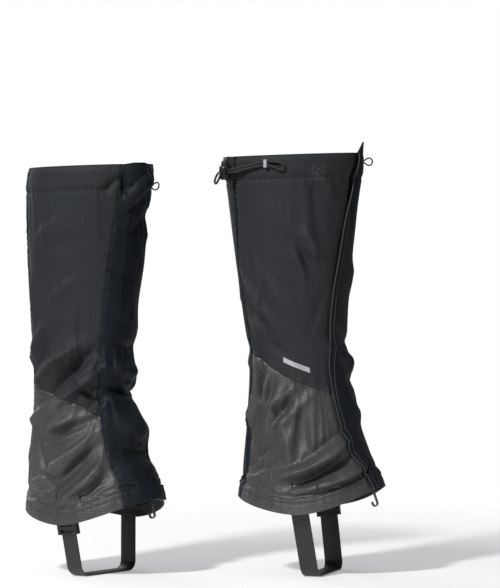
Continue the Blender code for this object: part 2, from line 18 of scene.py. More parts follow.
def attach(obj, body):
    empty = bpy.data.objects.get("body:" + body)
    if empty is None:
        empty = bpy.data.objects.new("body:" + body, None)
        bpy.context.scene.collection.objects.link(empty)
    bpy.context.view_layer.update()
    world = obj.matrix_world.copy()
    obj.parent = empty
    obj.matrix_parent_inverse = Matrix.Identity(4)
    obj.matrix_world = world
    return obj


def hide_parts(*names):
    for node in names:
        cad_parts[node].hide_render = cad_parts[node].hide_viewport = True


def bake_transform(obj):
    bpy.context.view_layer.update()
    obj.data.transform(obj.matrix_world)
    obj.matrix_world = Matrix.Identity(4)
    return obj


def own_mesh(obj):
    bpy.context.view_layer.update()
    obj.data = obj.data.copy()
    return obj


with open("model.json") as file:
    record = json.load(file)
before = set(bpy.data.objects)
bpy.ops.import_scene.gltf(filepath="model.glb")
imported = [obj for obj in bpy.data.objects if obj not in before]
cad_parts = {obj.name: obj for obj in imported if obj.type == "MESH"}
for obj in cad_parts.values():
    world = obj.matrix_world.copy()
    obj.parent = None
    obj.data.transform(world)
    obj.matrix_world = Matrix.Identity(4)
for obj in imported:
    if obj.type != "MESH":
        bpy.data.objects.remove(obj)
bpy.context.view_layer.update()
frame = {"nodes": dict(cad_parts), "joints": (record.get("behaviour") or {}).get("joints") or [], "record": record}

JOINTS = {joint["name"]: joint for joint in frame["joints"]}

# ---------------------------------------------------------------- the design's own sizes
TOP, ANKLE = 0.451, 0.236
FRONT_FOOT = 0.1               # height where the front edges meet the bottom hem
CORD, THIN_CORD = 0.0024, 0.0016
FLAP_LAP_DEG = 22
FLAP_EDGE = [(0.095, 20), (0.146, 30), (0.173, 34), (0.205, 38), (0.261, 33), (0.298, 29), (0.373, 19),
             (0.455, 4)]
FLAP_ROOT = [(0.090, 33), (0.160, 37), (0.195, 40), (0.260, 34), (0.330, 31), (0.451, 28)]
BACK_SEAM = [(0.070, 152), (0.200, 142), (0.260, 143), (0.330, 147), (0.380, 138), (0.450, 133)]
INNER_PATCH_TOP = [(30, 0.195), (65, 0.205), (95, 0.216), (120, 0.230), (146, 0.242)]
OUTER_PATCH_TOP = [(36, 0.183), (55, 0.195), (85, 0.206), (120, 0.214), (146, 0.232)]
WIDTH_SHARE = [(0.068, 0.76), (0.150, 0.82), (0.250, 0.90), (0.330, 0.84), (0.451, 0.80)]
SIDES = {
    "left": {
        "inner": -1, "heading": math.radians(9.5), "stand": (0.0, 0.0), "drop": 0.0,
        "sections": [(0.068, 0.0850, 0.0085), (0.105, 0.0755, 0.0045), (0.138, 0.0670, 0.0000),
                     (0.170, 0.0600, -0.0040), (0.202, 0.0550, -0.0045), (0.240, 0.0512, -0.0085),
                     (0.267, 0.0530, -0.0119), (0.331, 0.0610, -0.0152), (0.396, 0.0690, -0.0158),
                     (0.451, 0.0740, -0.0175)],
    },
    "right": {
        "inner": 1, "heading": math.radians(-9.5), "stand": (-0.201, -0.105), "drop": 0.012,
        "sections": [(0.068, 0.0840, 0.0010), (0.115, 0.0770, -0.0030), (0.147, 0.0675, -0.0120),
                     (0.180, 0.0610, -0.0135), (0.206, 0.0572, -0.0165), (0.244, 0.0586, -0.0168),
                     (0.293, 0.0605, -0.0175), (0.357, 0.0674, -0.0148), (0.405, 0.0722, -0.0100),
                     (0.451, 0.0720, -0.0050)],
    },
}
FLAP_TIP_RISE = {"left": 0.012, "right": 0.002}


# ---------------------------------------------------------------- leg coordinates
def smooth(table, key, column=1):
    """Read a table at key (a number or an array) along a smooth curve through its rows."""
    keys = np.array([row[0] for row in table], float)
    values = np.array([row[column] for row in table], float)
    key = np.clip(np.asarray(key, float), keys[0], keys[-1])
    i = np.clip(np.searchsorted(keys, key, side="right") - 1, 0, len(keys) - 2)
    slopes = np.diff(values) / np.diff(keys)
    bends = np.concatenate([slopes[:1], (slopes[1:] + slopes[:-1]) / 2, slopes[-1:]])
    span = keys[i + 1] - keys[i]
    t = (key - keys[i]) / span
    return ((2 * t**3 - 3 * t**2 + 1) * values[i] + (t**3 - 2 * t**2 + t) * span * bends[i]
            + (3 * t**2 - 2 * t**3) * values[i + 1] + (t**3 - t**2) * span * bends[i + 1])


def foot_to_world(side):
    """The matrix from a gaiter's foot frame to the pair's frame."""
    left, shape = SIDES["left"], SIDES[side]
    opening = Vector((left["sections"][-1][2], 0, TOP))
    origin = Matrix.Rotation(left["heading"], 4, "Z") @ opening
    stand = Vector((shape["stand"][0], shape["stand"][1], 0)) - origin
    return Matrix.Translation(stand) @ Matrix.Rotation(shape["heading"], 4, "Z")


def to_world(side, points):
    """Foot-frame points, as an array ending in x, y, z, in the pair's frame."""
    matrix = np.array(foot_to_world(side))
    return points @ matrix[:3, :3].T + matrix[:3, 3]


def design_point(side, angle, height, standoff=0.0):
    """Points of the CAD's own smooth surface, in the pair's frame."""
    shape = SIDES[side]
    angle, height, standoff = np.broadcast_arrays(np.asarray(angle, float), height, standoff)
    half_length = smooth(shape["sections"], height)
    half_width = half_length * smooth(WIDTH_SHARE, height)
    centre = smooth(shape["sections"], height, 2)
    c, s = np.cos(np.radians(angle)), np.sin(np.radians(angle))
    normal = np.stack([c / half_length, s / half_width])
    normal = normal / np.linalg.norm(normal, axis=0)
    x = centre + half_length * c + standoff * normal[0]
    y = shape["inner"] * (half_width * s + standoff * normal[1])
    return to_world(side, np.stack([x, y, height - shape["drop"]], axis=-1))


def lower_hem(angle):
    lean = np.cos(np.radians(angle))
    return 0.068 + np.where(lean > 0, 0.027, 0.016) * np.abs(lean) ** 1.6


def upper_hem(angle):
    return TOP - 0.0025 * (1 - np.cos(np.radians(angle)))


def flap_edge(height):
    return smooth(FLAP_EDGE, height)


def flap_root(height):
    return -smooth(FLAP_ROOT, height)


def inner_panel_edge(height):
    return flap_edge(height) - FLAP_LAP_DEG


def back_seam(height):
    return smooth(BACK_SEAM, height)


def inner_patch_top(angle):
    return smooth(INNER_PATCH_TOP, angle)


def outer_patch_top(angle):
    return smooth(OUTER_PATCH_TOP, -np.asarray(angle, float))


def ramp(value):
    value = np.clip(value, 0.0, 1.0)
    return value * value * (3 - 2 * value)


# ---------------------------------------------------------------- camera
CAMERA_AZIMUTH = math.radians(27.5)
CAMERA_DISTANCE = 4.0
CAMERA_HEIGHT = 0.42          # above the ground
VIEW_HEIGHT = 0.632           # how much of the subject the frame's height takes in
AIM_HEIGHT = 0.300
AIM_LEFT_OF_FOOT = 0.060      # the frame's middle, left of the left foot's own middle


def camera():
    foot = foot_to_world("left").translation
    ground = foot.z
    across = Vector((math.cos(CAMERA_AZIMUTH), math.sin(CAMERA_AZIMUTH), 0))
    back = Vector((math.sin(CAMERA_AZIMUTH), -math.cos(CAMERA_AZIMUTH), 0))
    aim = foot - across * AIM_LEFT_OF_FOOT
    aim.z = ground + AIM_HEIGHT
    spot = aim + back * CAMERA_DISTANCE
    spot.z = ground + CAMERA_HEIGHT
    data = bpy.data.cameras.new("camera")
    data.lens = data.sensor_width * CAMERA_DISTANCE / VIEW_HEIGHT
    made = add("camera", data)
    made.location = spot
    made.rotation_euler = (aim - spot).to_track_quat("-Z", "Y").to_euler()
    bpy.context.scene.camera = made


# ---------------------------------------------------------------- material helpers
WEBBING_PITCH, BRAID_PITCH = 0.0016, 0.0014


class Nodes:
    """A short way to write a material's node tree."""

    def __init__(self, name):
        self.material = bpy.data.materials.new(name)
        self.material.use_nodes = True
        self.tree = self.material.node_tree
        self.shader = self.tree.nodes["Principled BSDF"]

    def add(self, kind, **values):
        node = self.tree.nodes.new(kind)
        for key, value in values.items():
            if hasattr(node, key):
                setattr(node, key, value)
            else:
                node.inputs[key].default_value = value
        return node

    def link(self, out, into):
        self.tree.links.new(out, into)

    def feed(self, name, out):
        self.link(out, self.shader.inputs[name])

    def set(self, name, value):
        self.shader.inputs[name].default_value = value

    def place(self):
        return self.add("ShaderNodeTexCoord").outputs["Object"]

    def math(self, operation, one, two=None):
        node = self.add("ShaderNodeMath", operation=operation)
        for slot, value in zip(node.inputs, (one, two)):
            if value is None:
                continue
            if isinstance(value, (int, float)):
                slot.default_value = value
            else:
                self.link(value, slot)
        return node.outputs[0]

    def mix(self, share, one, two):
        node = self.add("ShaderNodeMix", data_type="RGBA")
        for slot, value in ((node.inputs[0], share), (node.inputs[6], one), (node.inputs[7], two)):
            if isinstance(value, (int, float)):
                slot.default_value = value
            elif isinstance(value, tuple):
                slot.default_value = (*value, 1.0)
            else:
                self.link(value, slot)
        return node.outputs[2]

    def noise(self, scale, detail, vector=None):
        node = self.add("ShaderNodeTexNoise", Scale=scale, Detail=detail, Roughness=0.55)
        if vector is None:
            vector = self.place()
        self.link(vector, node.inputs["Vector"])
        return node.outputs["Fac"]

    def spread(self, value, low, high, to_low=0.0, to_high=1.0):
        node = self.add("ShaderNodeMapRange")
        for name, edge in (("From Min", low), ("From Max", high), ("To Min", to_low), ("To Max", to_high)):
            node.inputs[name].default_value = edge
        self.link(value, node.inputs["Value"])
        return node.outputs[0]

    def attribute(self, name):
        return self.add("ShaderNodeAttribute", attribute_name=name).outputs["Fac"]

    def bump(self, height, distance, strength):
        node = self.add("ShaderNodeBump", Strength=strength, Distance=distance)
        self.link(height, node.inputs["Height"])
        self.feed("Normal", node.outputs["Normal"])

    def cloth_uv(self):
        return self.add("ShaderNodeUVMap", uv_map="cloth").outputs["UV"]

    def stripes(self, vector, pitch, axis):
        """0 to 1 along one axis of the cloth, once each pitch."""
        split = self.add("ShaderNodeSeparateXYZ")
        self.link(vector, split.inputs[0])
        turn = self.math("MULTIPLY", split.outputs[axis], 2 * math.pi / pitch)
        return self.spread(self.math("SINE", turn), -1.0, 1.0)


def shade(colour, share):
    return tuple(c * share for c in colour)


def fabric(name, colour, dusty, roughness, weave, weave_depth, sheen, gloss, ripstop=0.0,
           ripstop_pitch=0.004):
    """A woven cloth: threads both ways, mottling, dust on its folds and along its seams."""
    n = Nodes(name)
    uv = n.cloth_uv()
    warp, weft = n.stripes(uv, weave, 0), n.stripes(uv, weave, 1)
    threads = n.math("MULTIPLY", warp, weft)
    mottle = n.noise(22.0, 4.0)
    grain = n.noise(420.0, 2.0)
    yarn = n.add("ShaderNodeMapping", vector_type="POINT")
    yarn.inputs["Scale"].default_value = (620.0, 190.0, 1.0)
    n.link(uv, yarn.inputs["Vector"])
    slubs = n.spread(n.noise(1.0, 2.0, yarn.outputs[0]), 0.32, 0.68)
    tone = n.math("ADD", n.math("MULTIPLY", n.spread(mottle, 0.35, 0.7), 0.35),
                  n.math("MULTIPLY", slubs, 0.65))
    tint = n.mix(tone, shade(colour, 0.74), shade(colour, 1.26))
    worn = n.math("MULTIPLY", n.attribute("worn"), n.spread(n.noise(90.0, 3.0), 0.30, 0.62))
    tint = n.mix(n.math("MULTIPLY", worn, 0.55), tint, dusty)
    height = n.math("ADD", threads, n.math("MULTIPLY", grain, 0.8))
    if ripstop:
        lines = n.math("MAXIMUM", n.spread(n.stripes(uv, ripstop_pitch, 0), 0.90, 1.0),
                       n.spread(n.stripes(uv, ripstop_pitch, 1), 0.90, 1.0))
        shown = n.math("MULTIPLY", n.spread(n.noise(30.0, 2.0), 0.42, 0.60, 0.25, 1.0), ripstop)
        tint = n.mix(n.math("MULTIPLY", lines, shown), tint, shade(colour, 1.8))
        height = n.math("ADD", height, n.math("MULTIPLY", lines, 1.5))
    n.feed("Base Color", tint)
    n.feed("Roughness", n.spread(mottle, 0.3, 0.7, roughness - 0.07, roughness + 0.07))
    n.bump(height, weave_depth, 0.7)
    n.set("Sheen Weight", sheen)
    n.set("Sheen Roughness", 0.45)
    n.set("Specular IOR Level", gloss)
    return n.material


def moulded(name, colour, roughness, metallic=0.0, grain=900.0):
    """Moulded plastic, coated rubber or plated metal, with a fine grain and rubbed patches."""
    n = Nodes(name)
    patches = n.noise(60.0, 4.0)
    fine = n.noise(grain, 2.0)
    n.feed("Base Color", n.mix(n.spread(patches, 0.35, 0.7), shade(colour, 0.85), shade(colour, 1.25)))
    n.feed("Roughness", n.spread(patches, 0.3, 0.7, roughness - 0.08, roughness + 0.10))
    n.bump(fine, 0.00004, 0.6)
    n.set("Metallic", metallic)
    return n.material


def webbing(name, colour):
    """Ribbed black webbing: ribs across it by the object's own height, thread noise over them."""
    n = Nodes(name)
    ribs = n.stripes(n.place(), WEBBING_PITCH, 2)
    fine = n.noise(1500.0, 2.0)
    n.feed("Base Color", n.mix(ribs, shade(colour, 0.7), shade(colour, 1.3)))
    n.set("Roughness", 0.72)
    n.bump(n.math("ADD", ribs, fine), 0.00018, 0.8)
    return n.material


def braid(name, colour):
    """A braided cord: two sets of strands that cross, by their place in the object."""
    n = Nodes(name)
    split = n.add("ShaderNodeSeparateXYZ")
    n.link(n.place(), split.inputs[0])
    along = n.math("ADD", split.outputs[0], split.outputs[1])
    one, two = (n.math("SINE", n.math("MULTIPLY", n.math(way, along, split.outputs[2]),
                                      2 * math.pi / BRAID_PITCH)) for way in ("ADD", "SUBTRACT"))
    strands = n.spread(n.math("MULTIPLY", one, two), -1.0, 1.0)
    n.feed("Base Color", n.mix(strands, shade(colour, 0.6), shade(colour, 1.6)))
    n.set("Roughness", 0.6)
    n.bump(strands, 0.0002, 0.8)
    return n.material


def hooks(name, colour):
    """Hook-and-loop tape: a dense nap of small points."""
    n = Nodes(name)
    cells = n.add("ShaderNodeTexVoronoi", Scale=900.0)
    n.link(n.place(), cells.inputs["Vector"])
    n.feed("Base Color", n.mix(cells.outputs["Distance"], shade(colour, 2.0), shade(colour, 0.5)))
    n.set("Roughness", 0.9)
    n.bump(cells.outputs["Distance"], 0.0006, 1.0)
    return n.material


def finishes():
    made = {
        "calf_fabric": (fabric, (0.0205, 0.0240, 0.0275), (0.048, 0.053, 0.057), 0.70, 0.0011, 0.00012,
                        dict(sheen=0.03, gloss=0.30)),
        "stretch_fabric": (fabric, (0.0050, 0.0085, 0.0120), (0.020, 0.027, 0.036), 0.58, 0.0009, 0.00010,
                           dict(sheen=0.0, gloss=0.20)),
        "ripstop_fabric": (fabric, (0.045, 0.0440, 0.0435), (0.105, 0.102, 0.100), 0.46, 0.0008, 0.00009,
                           dict(ripstop=0.90, ripstop_pitch=0.0034, sheen=0.03, gloss=0.55)),
        "black_webbing": (webbing, (0.010, 0.010, 0.011), {}),
        "strap_rubber": (moulded, (0.017, 0.017, 0.019), 0.42, dict(grain=700.0)),
        "black_plastic": (moulded, (0.012, 0.012, 0.013), 0.32, {}),
        "grey_plastic": (moulded, (0.42, 0.43, 0.44), 0.35, {}),
        "cord_black": (braid, (0.020, 0.020, 0.022), {}),
        "hook_and_loop": (hooks, (0.012, 0.012, 0.013), {}),
        "dark_metal": (moulded, (0.14, 0.14, 0.15), 0.30, dict(metallic=1.0, grain=1600.0)),
        "spring_steel": (moulded, (0.55, 0.55, 0.54), 0.28, dict(metallic=1.0, grain=1600.0)),
        "reflective_print": (moulded, (0.42, 0.43, 0.44), 0.45, dict(grain=2500.0)),
        # thread is the black thread again, painted light grey: a painted highlight for the sheen on the stitches
        # of the inner sides and the flap's edge
        "thread": (moulded, (0.12, 0.125, 0.13), 0.7, dict(grain=2500.0)),
        "piping": (moulded, (0.034, 0.039, 0.043), 0.6, dict(grain=2500.0)),
        "black_thread": (moulded, (0.010, 0.010, 0.011), 0.7, dict(grain=2500.0)),
    }
    return {name: make(name, *values, **rest) for name, (make, *values, rest) in made.items()}


# ---------------------------------------------------------------- the simulated tube
COLUMNS, ROWS = 144, 150
# Creases that the leg puts in the cloth: from (angle, height) to (angle, height), how far the ridge
# stands out (a valley is negative) and its half width, in metres. One flank is steeper.
# FAR_CREASES lie on the side away from the camera, mirrored from one gaiter to the other.
FAR_CREASES = [
    (62, 0.262, 132, 0.236, -0.0036, 0.006), (50, 0.240, 122, 0.216, 0.0040, 0.0055),
    (96, 0.266, 140, 0.256, 0.0030, 0.005), (58, 0.204, 104, 0.178, 0.0034, 0.0055),
    (80, 0.360, 112, 0.306, 0.0028, 0.008), (70, 0.152, 112, 0.120, 0.0034, 0.0055),
    (60, 0.120, 96, 0.102, -0.0034, 0.005),
]
CREASES = {
    "left": [
        (68, 0.372, 44, 0.343, 0.0036, 0.007), (78, 0.362, 52, 0.332, -0.0030, 0.006),
        (52, 0.428, 34, 0.409, 0.0026, 0.005), (58, 0.421, 42, 0.401, -0.0022, 0.005),
        (138, 0.326, 100, 0.270, 0.0030, 0.007), (138, 0.312, 112, 0.270, -0.0030, 0.006),
        (112, 0.330, 84, 0.290, 0.0020, 0.009), (100, 0.400, 76, 0.375, 0.0010, 0.010),
        (74, 0.348, 60, 0.322, 0.0022, 0.0050), (40, 0.300, 56, 0.262, -0.0016, 0.0060),
        (118, 0.262, 92, 0.240, -0.0024, 0.0060), (128, 0.276, 108, 0.252, 0.0026, 0.0060),
        (30, 0.246, -16, 0.226, 0.0044, 0.0080), (26, 0.264, -22, 0.250, -0.0030, 0.007),
        (8, 0.216, -30, 0.208, -0.0030, 0.007), (4, 0.440, 6, 0.392, -0.0030, 0.005),
        (-6, 0.335, -30, 0.305, 0.0022, 0.008), (10, 0.190, -20, 0.170, 0.0022, 0.008),
        (134, 0.238, 133, 0.200, 0.0036, 0.0045), (133, 0.203, 148, 0.158, 0.0040, 0.0045),
        (126, 0.222, 126, 0.188, -0.0034, 0.005), (114, 0.214, 122, 0.182, 0.0036, 0.0045),
        (104, 0.190, 118, 0.158, 0.0034, 0.0045), (78, 0.206, 110, 0.182, 0.0040, 0.006),
        (84, 0.192, 108, 0.168, -0.0036, 0.0055), (66, 0.192, 98, 0.166, 0.0030, 0.0055),
        (118, 0.138, 142, 0.120, -0.0044, 0.006), (114, 0.122, 138, 0.113, -0.0034, 0.005),
        (120, 0.130, 140, 0.124, 0.0020, 0.005),
        (78, 0.120, 104, 0.108, 0.0034, 0.0045), (36, 0.144, 90, 0.112, 0.0056, 0.0046),
        (36, 0.154, 82, 0.124, -0.0040, 0.0045), (30, 0.132, 88, 0.103, -0.0056, 0.0044),
        (26, 0.118, 82, 0.097, 0.0044, 0.0045), (98, 0.168, 90, 0.128, 0.0030, 0.007),
        (74, 0.172, 78, 0.136, -0.0022, 0.008),
        *((-a0, h0, -a1, h1, depth, width) for a0, h0, a1, h1, depth, width in FAR_CREASES),
        (200, 0.264, 162, 0.246, -0.0026, 0.0065),
        (184, 0.238, 226, 0.254, 0.0026, 0.0065), (164, 0.228, 206, 0.222, 0.0020, 0.0060),
        (170, 0.300, 196, 0.286, 0.0016, 0.008),
    ],
    "right": [
        (-88, 0.198, -34, 0.236, 0.0056, 0.0050), (-104, 0.206, -44, 0.248, -0.0050, 0.0046),
        (-122, 0.218, -60, 0.262, 0.0046, 0.0055), (-136, 0.226, -84, 0.270, -0.0036, 0.0050),
        (-132, 0.246, -96, 0.284, 0.0030, 0.006), (-76, 0.180, -30, 0.206, -0.0044, 0.0050),
        (-98, 0.172, -40, 0.196, 0.0048, 0.0048),
        (-104, 0.160, -52, 0.182, -0.0036, 0.0048), (-44, 0.204, -68, 0.222, -0.0044, 0.0040),
        (-118, 0.190, -140, 0.176, 0.0034, 0.0055),
        (-28, 0.214, 24, 0.208, -0.0068, 0.0060), (-26, 0.236, 26, 0.230, 0.0042, 0.0065),
        (-22, 0.262, 20, 0.256, -0.0030, 0.006), (-20, 0.180, 26, 0.170, 0.0048, 0.0150),
        (-24, 0.150, 20, 0.146, -0.0026, 0.0060),
        (-16, 0.142, 24, 0.138, -0.0030, 0.007), (-30, 0.438, -44, 0.424, -0.0028, 0.0045),
        (-26, 0.444, -22, 0.420, -0.0036, 0.0035), (4, 0.440, -22, 0.412, 0.0030, 0.0050),
        (6, 0.424, -20, 0.398, -0.0030, 0.0050), (10, 0.396, -12, 0.378, -0.0036, 0.006),
        (52, 0.400, 14, 0.402, -0.0050, 0.008), (50, 0.372, 18, 0.378, 0.0018, 0.009),
        (52, 0.262, 12, 0.256, -0.0030, 0.014), (54, 0.212, 22, 0.206, -0.0060, 0.007),
        (52, 0.170, 24, 0.168, 0.0030, 0.016),
        (-84, 0.392, -108, 0.378, 0.0022, 0.006), (-76, 0.372, -104, 0.356, -0.0014, 0.008),
        (-66, 0.330, -98, 0.304, 0.0022, 0.006), (-52, 0.262, -96, 0.236, 0.0030, 0.0050),
        (-40, 0.258, -78, 0.232, -0.0034, 0.0048), (-36, 0.248, -66, 0.226, 0.0036, 0.0042),
        (-30, 0.340, 4, 0.330, -0.0018, 0.007), (-16, 0.300, 20, 0.282, 0.0020, 0.009),
        (-120, 0.330, -128, 0.290, 0.0020, 0.007),
        (-54, 0.164, -108, 0.120, 0.0052, 0.0050), (-48, 0.154, -94, 0.114, -0.0046, 0.0046),
        (-44, 0.140, -82, 0.102, 0.0046, 0.0046), (-42, 0.128, -70, 0.104, -0.0040, 0.0044),
        (-122, 0.164, -96, 0.110, -0.0030, 0.0055),
        (-132, 0.150, -110, 0.104, 0.0030, 0.0055),
        *FAR_CREASES, (200, 0.260, 158, 0.238, -0.0030, 0.0060),
        (184, 0.232, 226, 0.250, 0.0024, 0.0065), (160, 0.224, 206, 0.218, 0.0020, 0.0060),
        (168, 0.296, 196, 0.280, 0.0024, 0.007),
    ],
}
SLACK = [(0.068, 0.010), (0.140, 0.030), (0.200, 0.095), (0.250, 0.105), (0.300, 0.050), (0.380, 0.022),
         (0.451, 0.008)]       # spare length up the leg, as a share, by height
GIRTH_SLACK = 0.001
SIM_FRAMES = 26
MOST_MOVE = 0.0050             # how far the simulation may carry a point
LEG_DEPTH = 0.0062             # from the design's surface in to the leg
PIN_LOW, PIN_LOW_FADE, PIN_HIGH, PIN_HIGH_FADE = 0.055, 0.03, 0.90, 0.035   # shares of the height
LEG_RADIUS = 0.056             # about, for distances round the leg
STEEP_FLANK, GENTLE_FLANK = 0.7, 1.25          # a crease's widths, as shares of its half width
CREASE_OVERRUN = 0.15                          # how far it fades out past its ends, as a share


def arc(angle, height):
    """Rough distance round the leg and up it, in metres, for measuring creases."""
    round_leg = np.asarray(angle, float) * math.pi / 180 * LEG_RADIUS
    return np.stack([round_leg, np.asarray(height, float)], axis=-1)


def crease_standoff(side, angle, height):
    """How far the creases push the cloth out at each point."""
    total = np.zeros(np.broadcast(angle, height).shape)
    for a0, h0, a1, h1, depth, width in CREASES[side]:
        middle = (a0 + a1) / 2
        near = (np.asarray(angle) - middle + 180) % 360 - 180 + middle
        spot, start, end = arc(near, height), arc(a0, h0), arc(a1, h1)
        run = end - start
        share = np.clip(((spot - start) @ run) / (run @ run), -CREASE_OVERRUN, 1 + CREASE_OVERRUN)
        offset = spot - (start + share[..., None] * run)
        away = np.linalg.norm(offset, axis=-1)
        steep = run[..., 0] * offset[..., 1] - run[..., 1] * offset[..., 0] < 0
        fade = ramp(1 + CREASE_OVERRUN - np.abs(share - 0.5) * 1.3)
        total += depth * fade * np.exp(-(away / (width * np.where(steep, STEEP_FLANK, GENTLE_FLANK))) ** 2)
    calm = ramp((height - lower_hem(angle) - 0.004) / 0.016) * ramp((upper_hem(angle) - height) / 0.024)
    return total * calm


def tube_layout():
    """The angle and the height of every point of the tube's grid."""
    angle = np.arange(COLUMNS) * 360.0 / COLUMNS
    share = np.linspace(0, 1, ROWS + 1)[:, None]
    low, high = lower_hem(angle), upper_hem(angle)
    return np.broadcast_to(angle, (ROWS + 1, COLUMNS)), low + (high - low) * share


def grid_faces(rows, columns, closed, flip=False):
    """Quads of a grid of rows by columns of points; closed joins the last column to the first."""
    wide = columns if closed else columns - 1
    j, i = np.meshgrid(np.arange(rows - 1), np.arange(wide), indexing="ij")
    k = (i + 1) % columns
    quads = np.stack([j * columns + i, j * columns + k, (j + 1) * columns + k, (j + 1) * columns + i], -1)
    quads = quads.reshape(-1, 4)
    return quads[:, ::-1] if flip else quads


def mesh_of(name, points, faces):
    """A mesh of an array of points and an array of quads."""
    mesh = bpy.data.meshes.new(name)
    mesh.from_pydata(np.asarray(points).reshape(-1, 3).tolist(), [], np.asarray(faces).tolist())
    mesh.update()
    return mesh


def add(name, data, finish=None):
    made = bpy.data.objects.new(name, data)
    bpy.context.scene.collection.objects.link(made)
    if finish:
        data.materials.append(FINISH[finish])
    return made


def closed_mesh(name, points, faces):
    """A smooth closed mesh with its faces turned outward."""
    mesh = bpy.data.meshes.new(name)
    mesh.from_pydata(np.asarray(points).reshape(-1, 3).tolist(), [], faces)
    shell = bmesh.new()
    shell.from_mesh(mesh)
    bmesh.ops.recalc_face_normals(shell, faces=shell.faces)
    shell.to_mesh(mesh)
    shell.free()
    mesh.shade_smooth()
    return mesh


def tube_faces(rings, sides, reverse=(False, True)):
    """Quads of a tube of rings and a cap at each end, its corners forward or in reverse."""
    caps = [[ring * sides + n for n in range(sides)] for ring in (0, rings - 1)]
    caps = [cap[::-1] if backward else cap for cap, backward in zip(caps, reverse)]
    return grid_faces(rings, sides, True).tolist() + caps


def run_along(path):
    """The distance along a path to each of its points."""
    return np.concatenate([[0], np.cumsum(np.linalg.norm(np.diff(path, axis=0), axis=-1))])


def read_along(at, run, values):
    """An array's rows, read at distances along a path."""
    return np.stack([np.interp(at, run, values[:, k]) for k in range(values.shape[1])], axis=-1)


def unit(vectors):
    return vectors / np.linalg.norm(vectors, axis=-1, keepdims=True)


def level(value):
    """An edge that stays at one angle or height."""
    return lambda at: value + 0 * at


def read_points(mesh):
    flat = np.empty(len(mesh.vertices) * 3, np.float32)
    mesh.vertices.foreach_get("co", flat)
    return flat.reshape(-1, 3).astype(float)


def simulate(side):
    """Fold the tube by its creases, give it its slack and let Cloth settle it over the leg."""
    angle, height = tube_layout()
    start = design_point(side, angle, height, crease_standoff(side, angle, height))
    faces = grid_faces(ROWS + 1, COLUMNS, True, SIDES[side]["inner"] < 0)
    cloth = add(side + "_tube", mesh_of(side + "_tube", start, faces))
    leg = add(side + "_leg", mesh_of(side + "_leg", design_point(side, angle, height, -LEG_DEPTH), faces))
    leg.modifiers.new("collision", "COLLISION")
    leg.collision.thickness_outer = 0.001
    leg.collision.cloth_friction = 12.0

    rest = cloth.shape_key_add(name="Basis", from_mix=False)
    spare = cloth.shape_key_add(name="spare", from_mix=False)
    stretch = 1 + smooth(SLACK, height)
    steps = np.diff(height, axis=0) * (stretch[1:] + stretch[:-1]) / 2
    taller = np.concatenate([height[:1], height[:1] + np.cumsum(steps, axis=0)])
    middle = start.mean(axis=(0, 1))
    wide = start.copy()
    wide[..., :2] = middle[:2] + (start[..., :2] - middle[:2]) * (1 + GIRTH_SLACK)
    wide[..., 2] += taller - height
    spare.data.foreach_set("co", wide.reshape(-1))
    pins = cloth.vertex_groups.new(name="pins")
    share = np.linspace(0, 1, ROWS + 1)
    hold = np.maximum(ramp((PIN_LOW - share) / PIN_LOW_FADE), ramp((share - PIN_HIGH) / PIN_HIGH_FADE))
    for j in range(ROWS + 1):
        if hold[j] > 0:
            pins.add(list(range(j * COLUMNS, (j + 1) * COLUMNS)), float(hold[j]), "REPLACE")
    modifier = cloth.modifiers.new("cloth", "CLOTH")
    settings = modifier.settings
    settings.quality = 6
    settings.mass = 0.25
    settings.tension_stiffness = settings.compression_stiffness = 22
    settings.shear_stiffness = 9
    settings.bending_stiffness = 1.6
    settings.bending_model = "ANGULAR"
    settings.air_damping = 2.0
    settings.vertex_group_mass = "pins"
    settings.pin_stiffness = 1.0
    settings.rest_shape_key = spare
    modifier.collision_settings.distance_min = 0.001
    modifier.collision_settings.collision_quality = 2
    modifier.point_cache.frame_start, modifier.point_cache.frame_end = 1, SIM_FRAMES
    scene = bpy.context.scene
    for step in range(1, SIM_FRAMES + 1):
        scene.frame_set(step)
    graph = bpy.context.evaluated_depsgraph_get()
    settled = read_points(cloth.evaluated_get(graph).to_mesh()).reshape(start.shape)
    for used in (cloth, leg):
        mesh = used.data
        bpy.data.objects.remove(used)
        bpy.data.meshes.remove(mesh)
    scene.frame_set(1)
    move = settled - start
    size = np.linalg.norm(move, axis=-1, keepdims=True)
    settled = start + move * np.tanh(size / MOST_MOVE) * MOST_MOVE / np.maximum(size, 1e-9)
    pressed = crease_standoff(side, angle, height)
    return settled + design_point(side, angle, height, pressed) - design_point(side, angle, height)


def surface(side, angle, height):
    """Points of the simulated surface: a cubic through its grid, straight on past its hems."""
    tube = TUBES[side]
    low, high = lower_hem(angle), upper_hem(angle)
    row = (height - low) / (high - low) * ROWS
    inside = np.clip(row, 0, ROWS)
    column = (np.asarray(angle, float) % 360.0) * COLUMNS / 360.0
    i, j = np.floor(column).astype(int), np.clip(np.floor(inside).astype(int), 0, ROWS - 1)
    across, up = cubic(column - i), cubic(inside - j)
    result = 0.0
    for b, weight_up in zip(range(-1, 3), up):
        for a, weight_across in zip(range(-1, 3), across):
            spot = tube[np.clip(j + b, 0, ROWS), (i + a) % COLUMNS]
            result = result + (weight_across * weight_up)[..., None] * spot
    last = np.where(row > ROWS, ROWS, 1)
    step = tube[last, i % COLUMNS] - tube[last - 1, i % COLUMNS]
    return result + (row - inside)[..., None] * step


def cubic(t):
    """The four weights of a smooth curve through four neighbours."""
    return ((-t + 2 * t**2 - t**3) / 2, (2 - 5 * t**2 + 3 * t**3) / 2,
            (t + 4 * t**2 - 3 * t**3) / 2, (-t**2 + t**3) / 2)


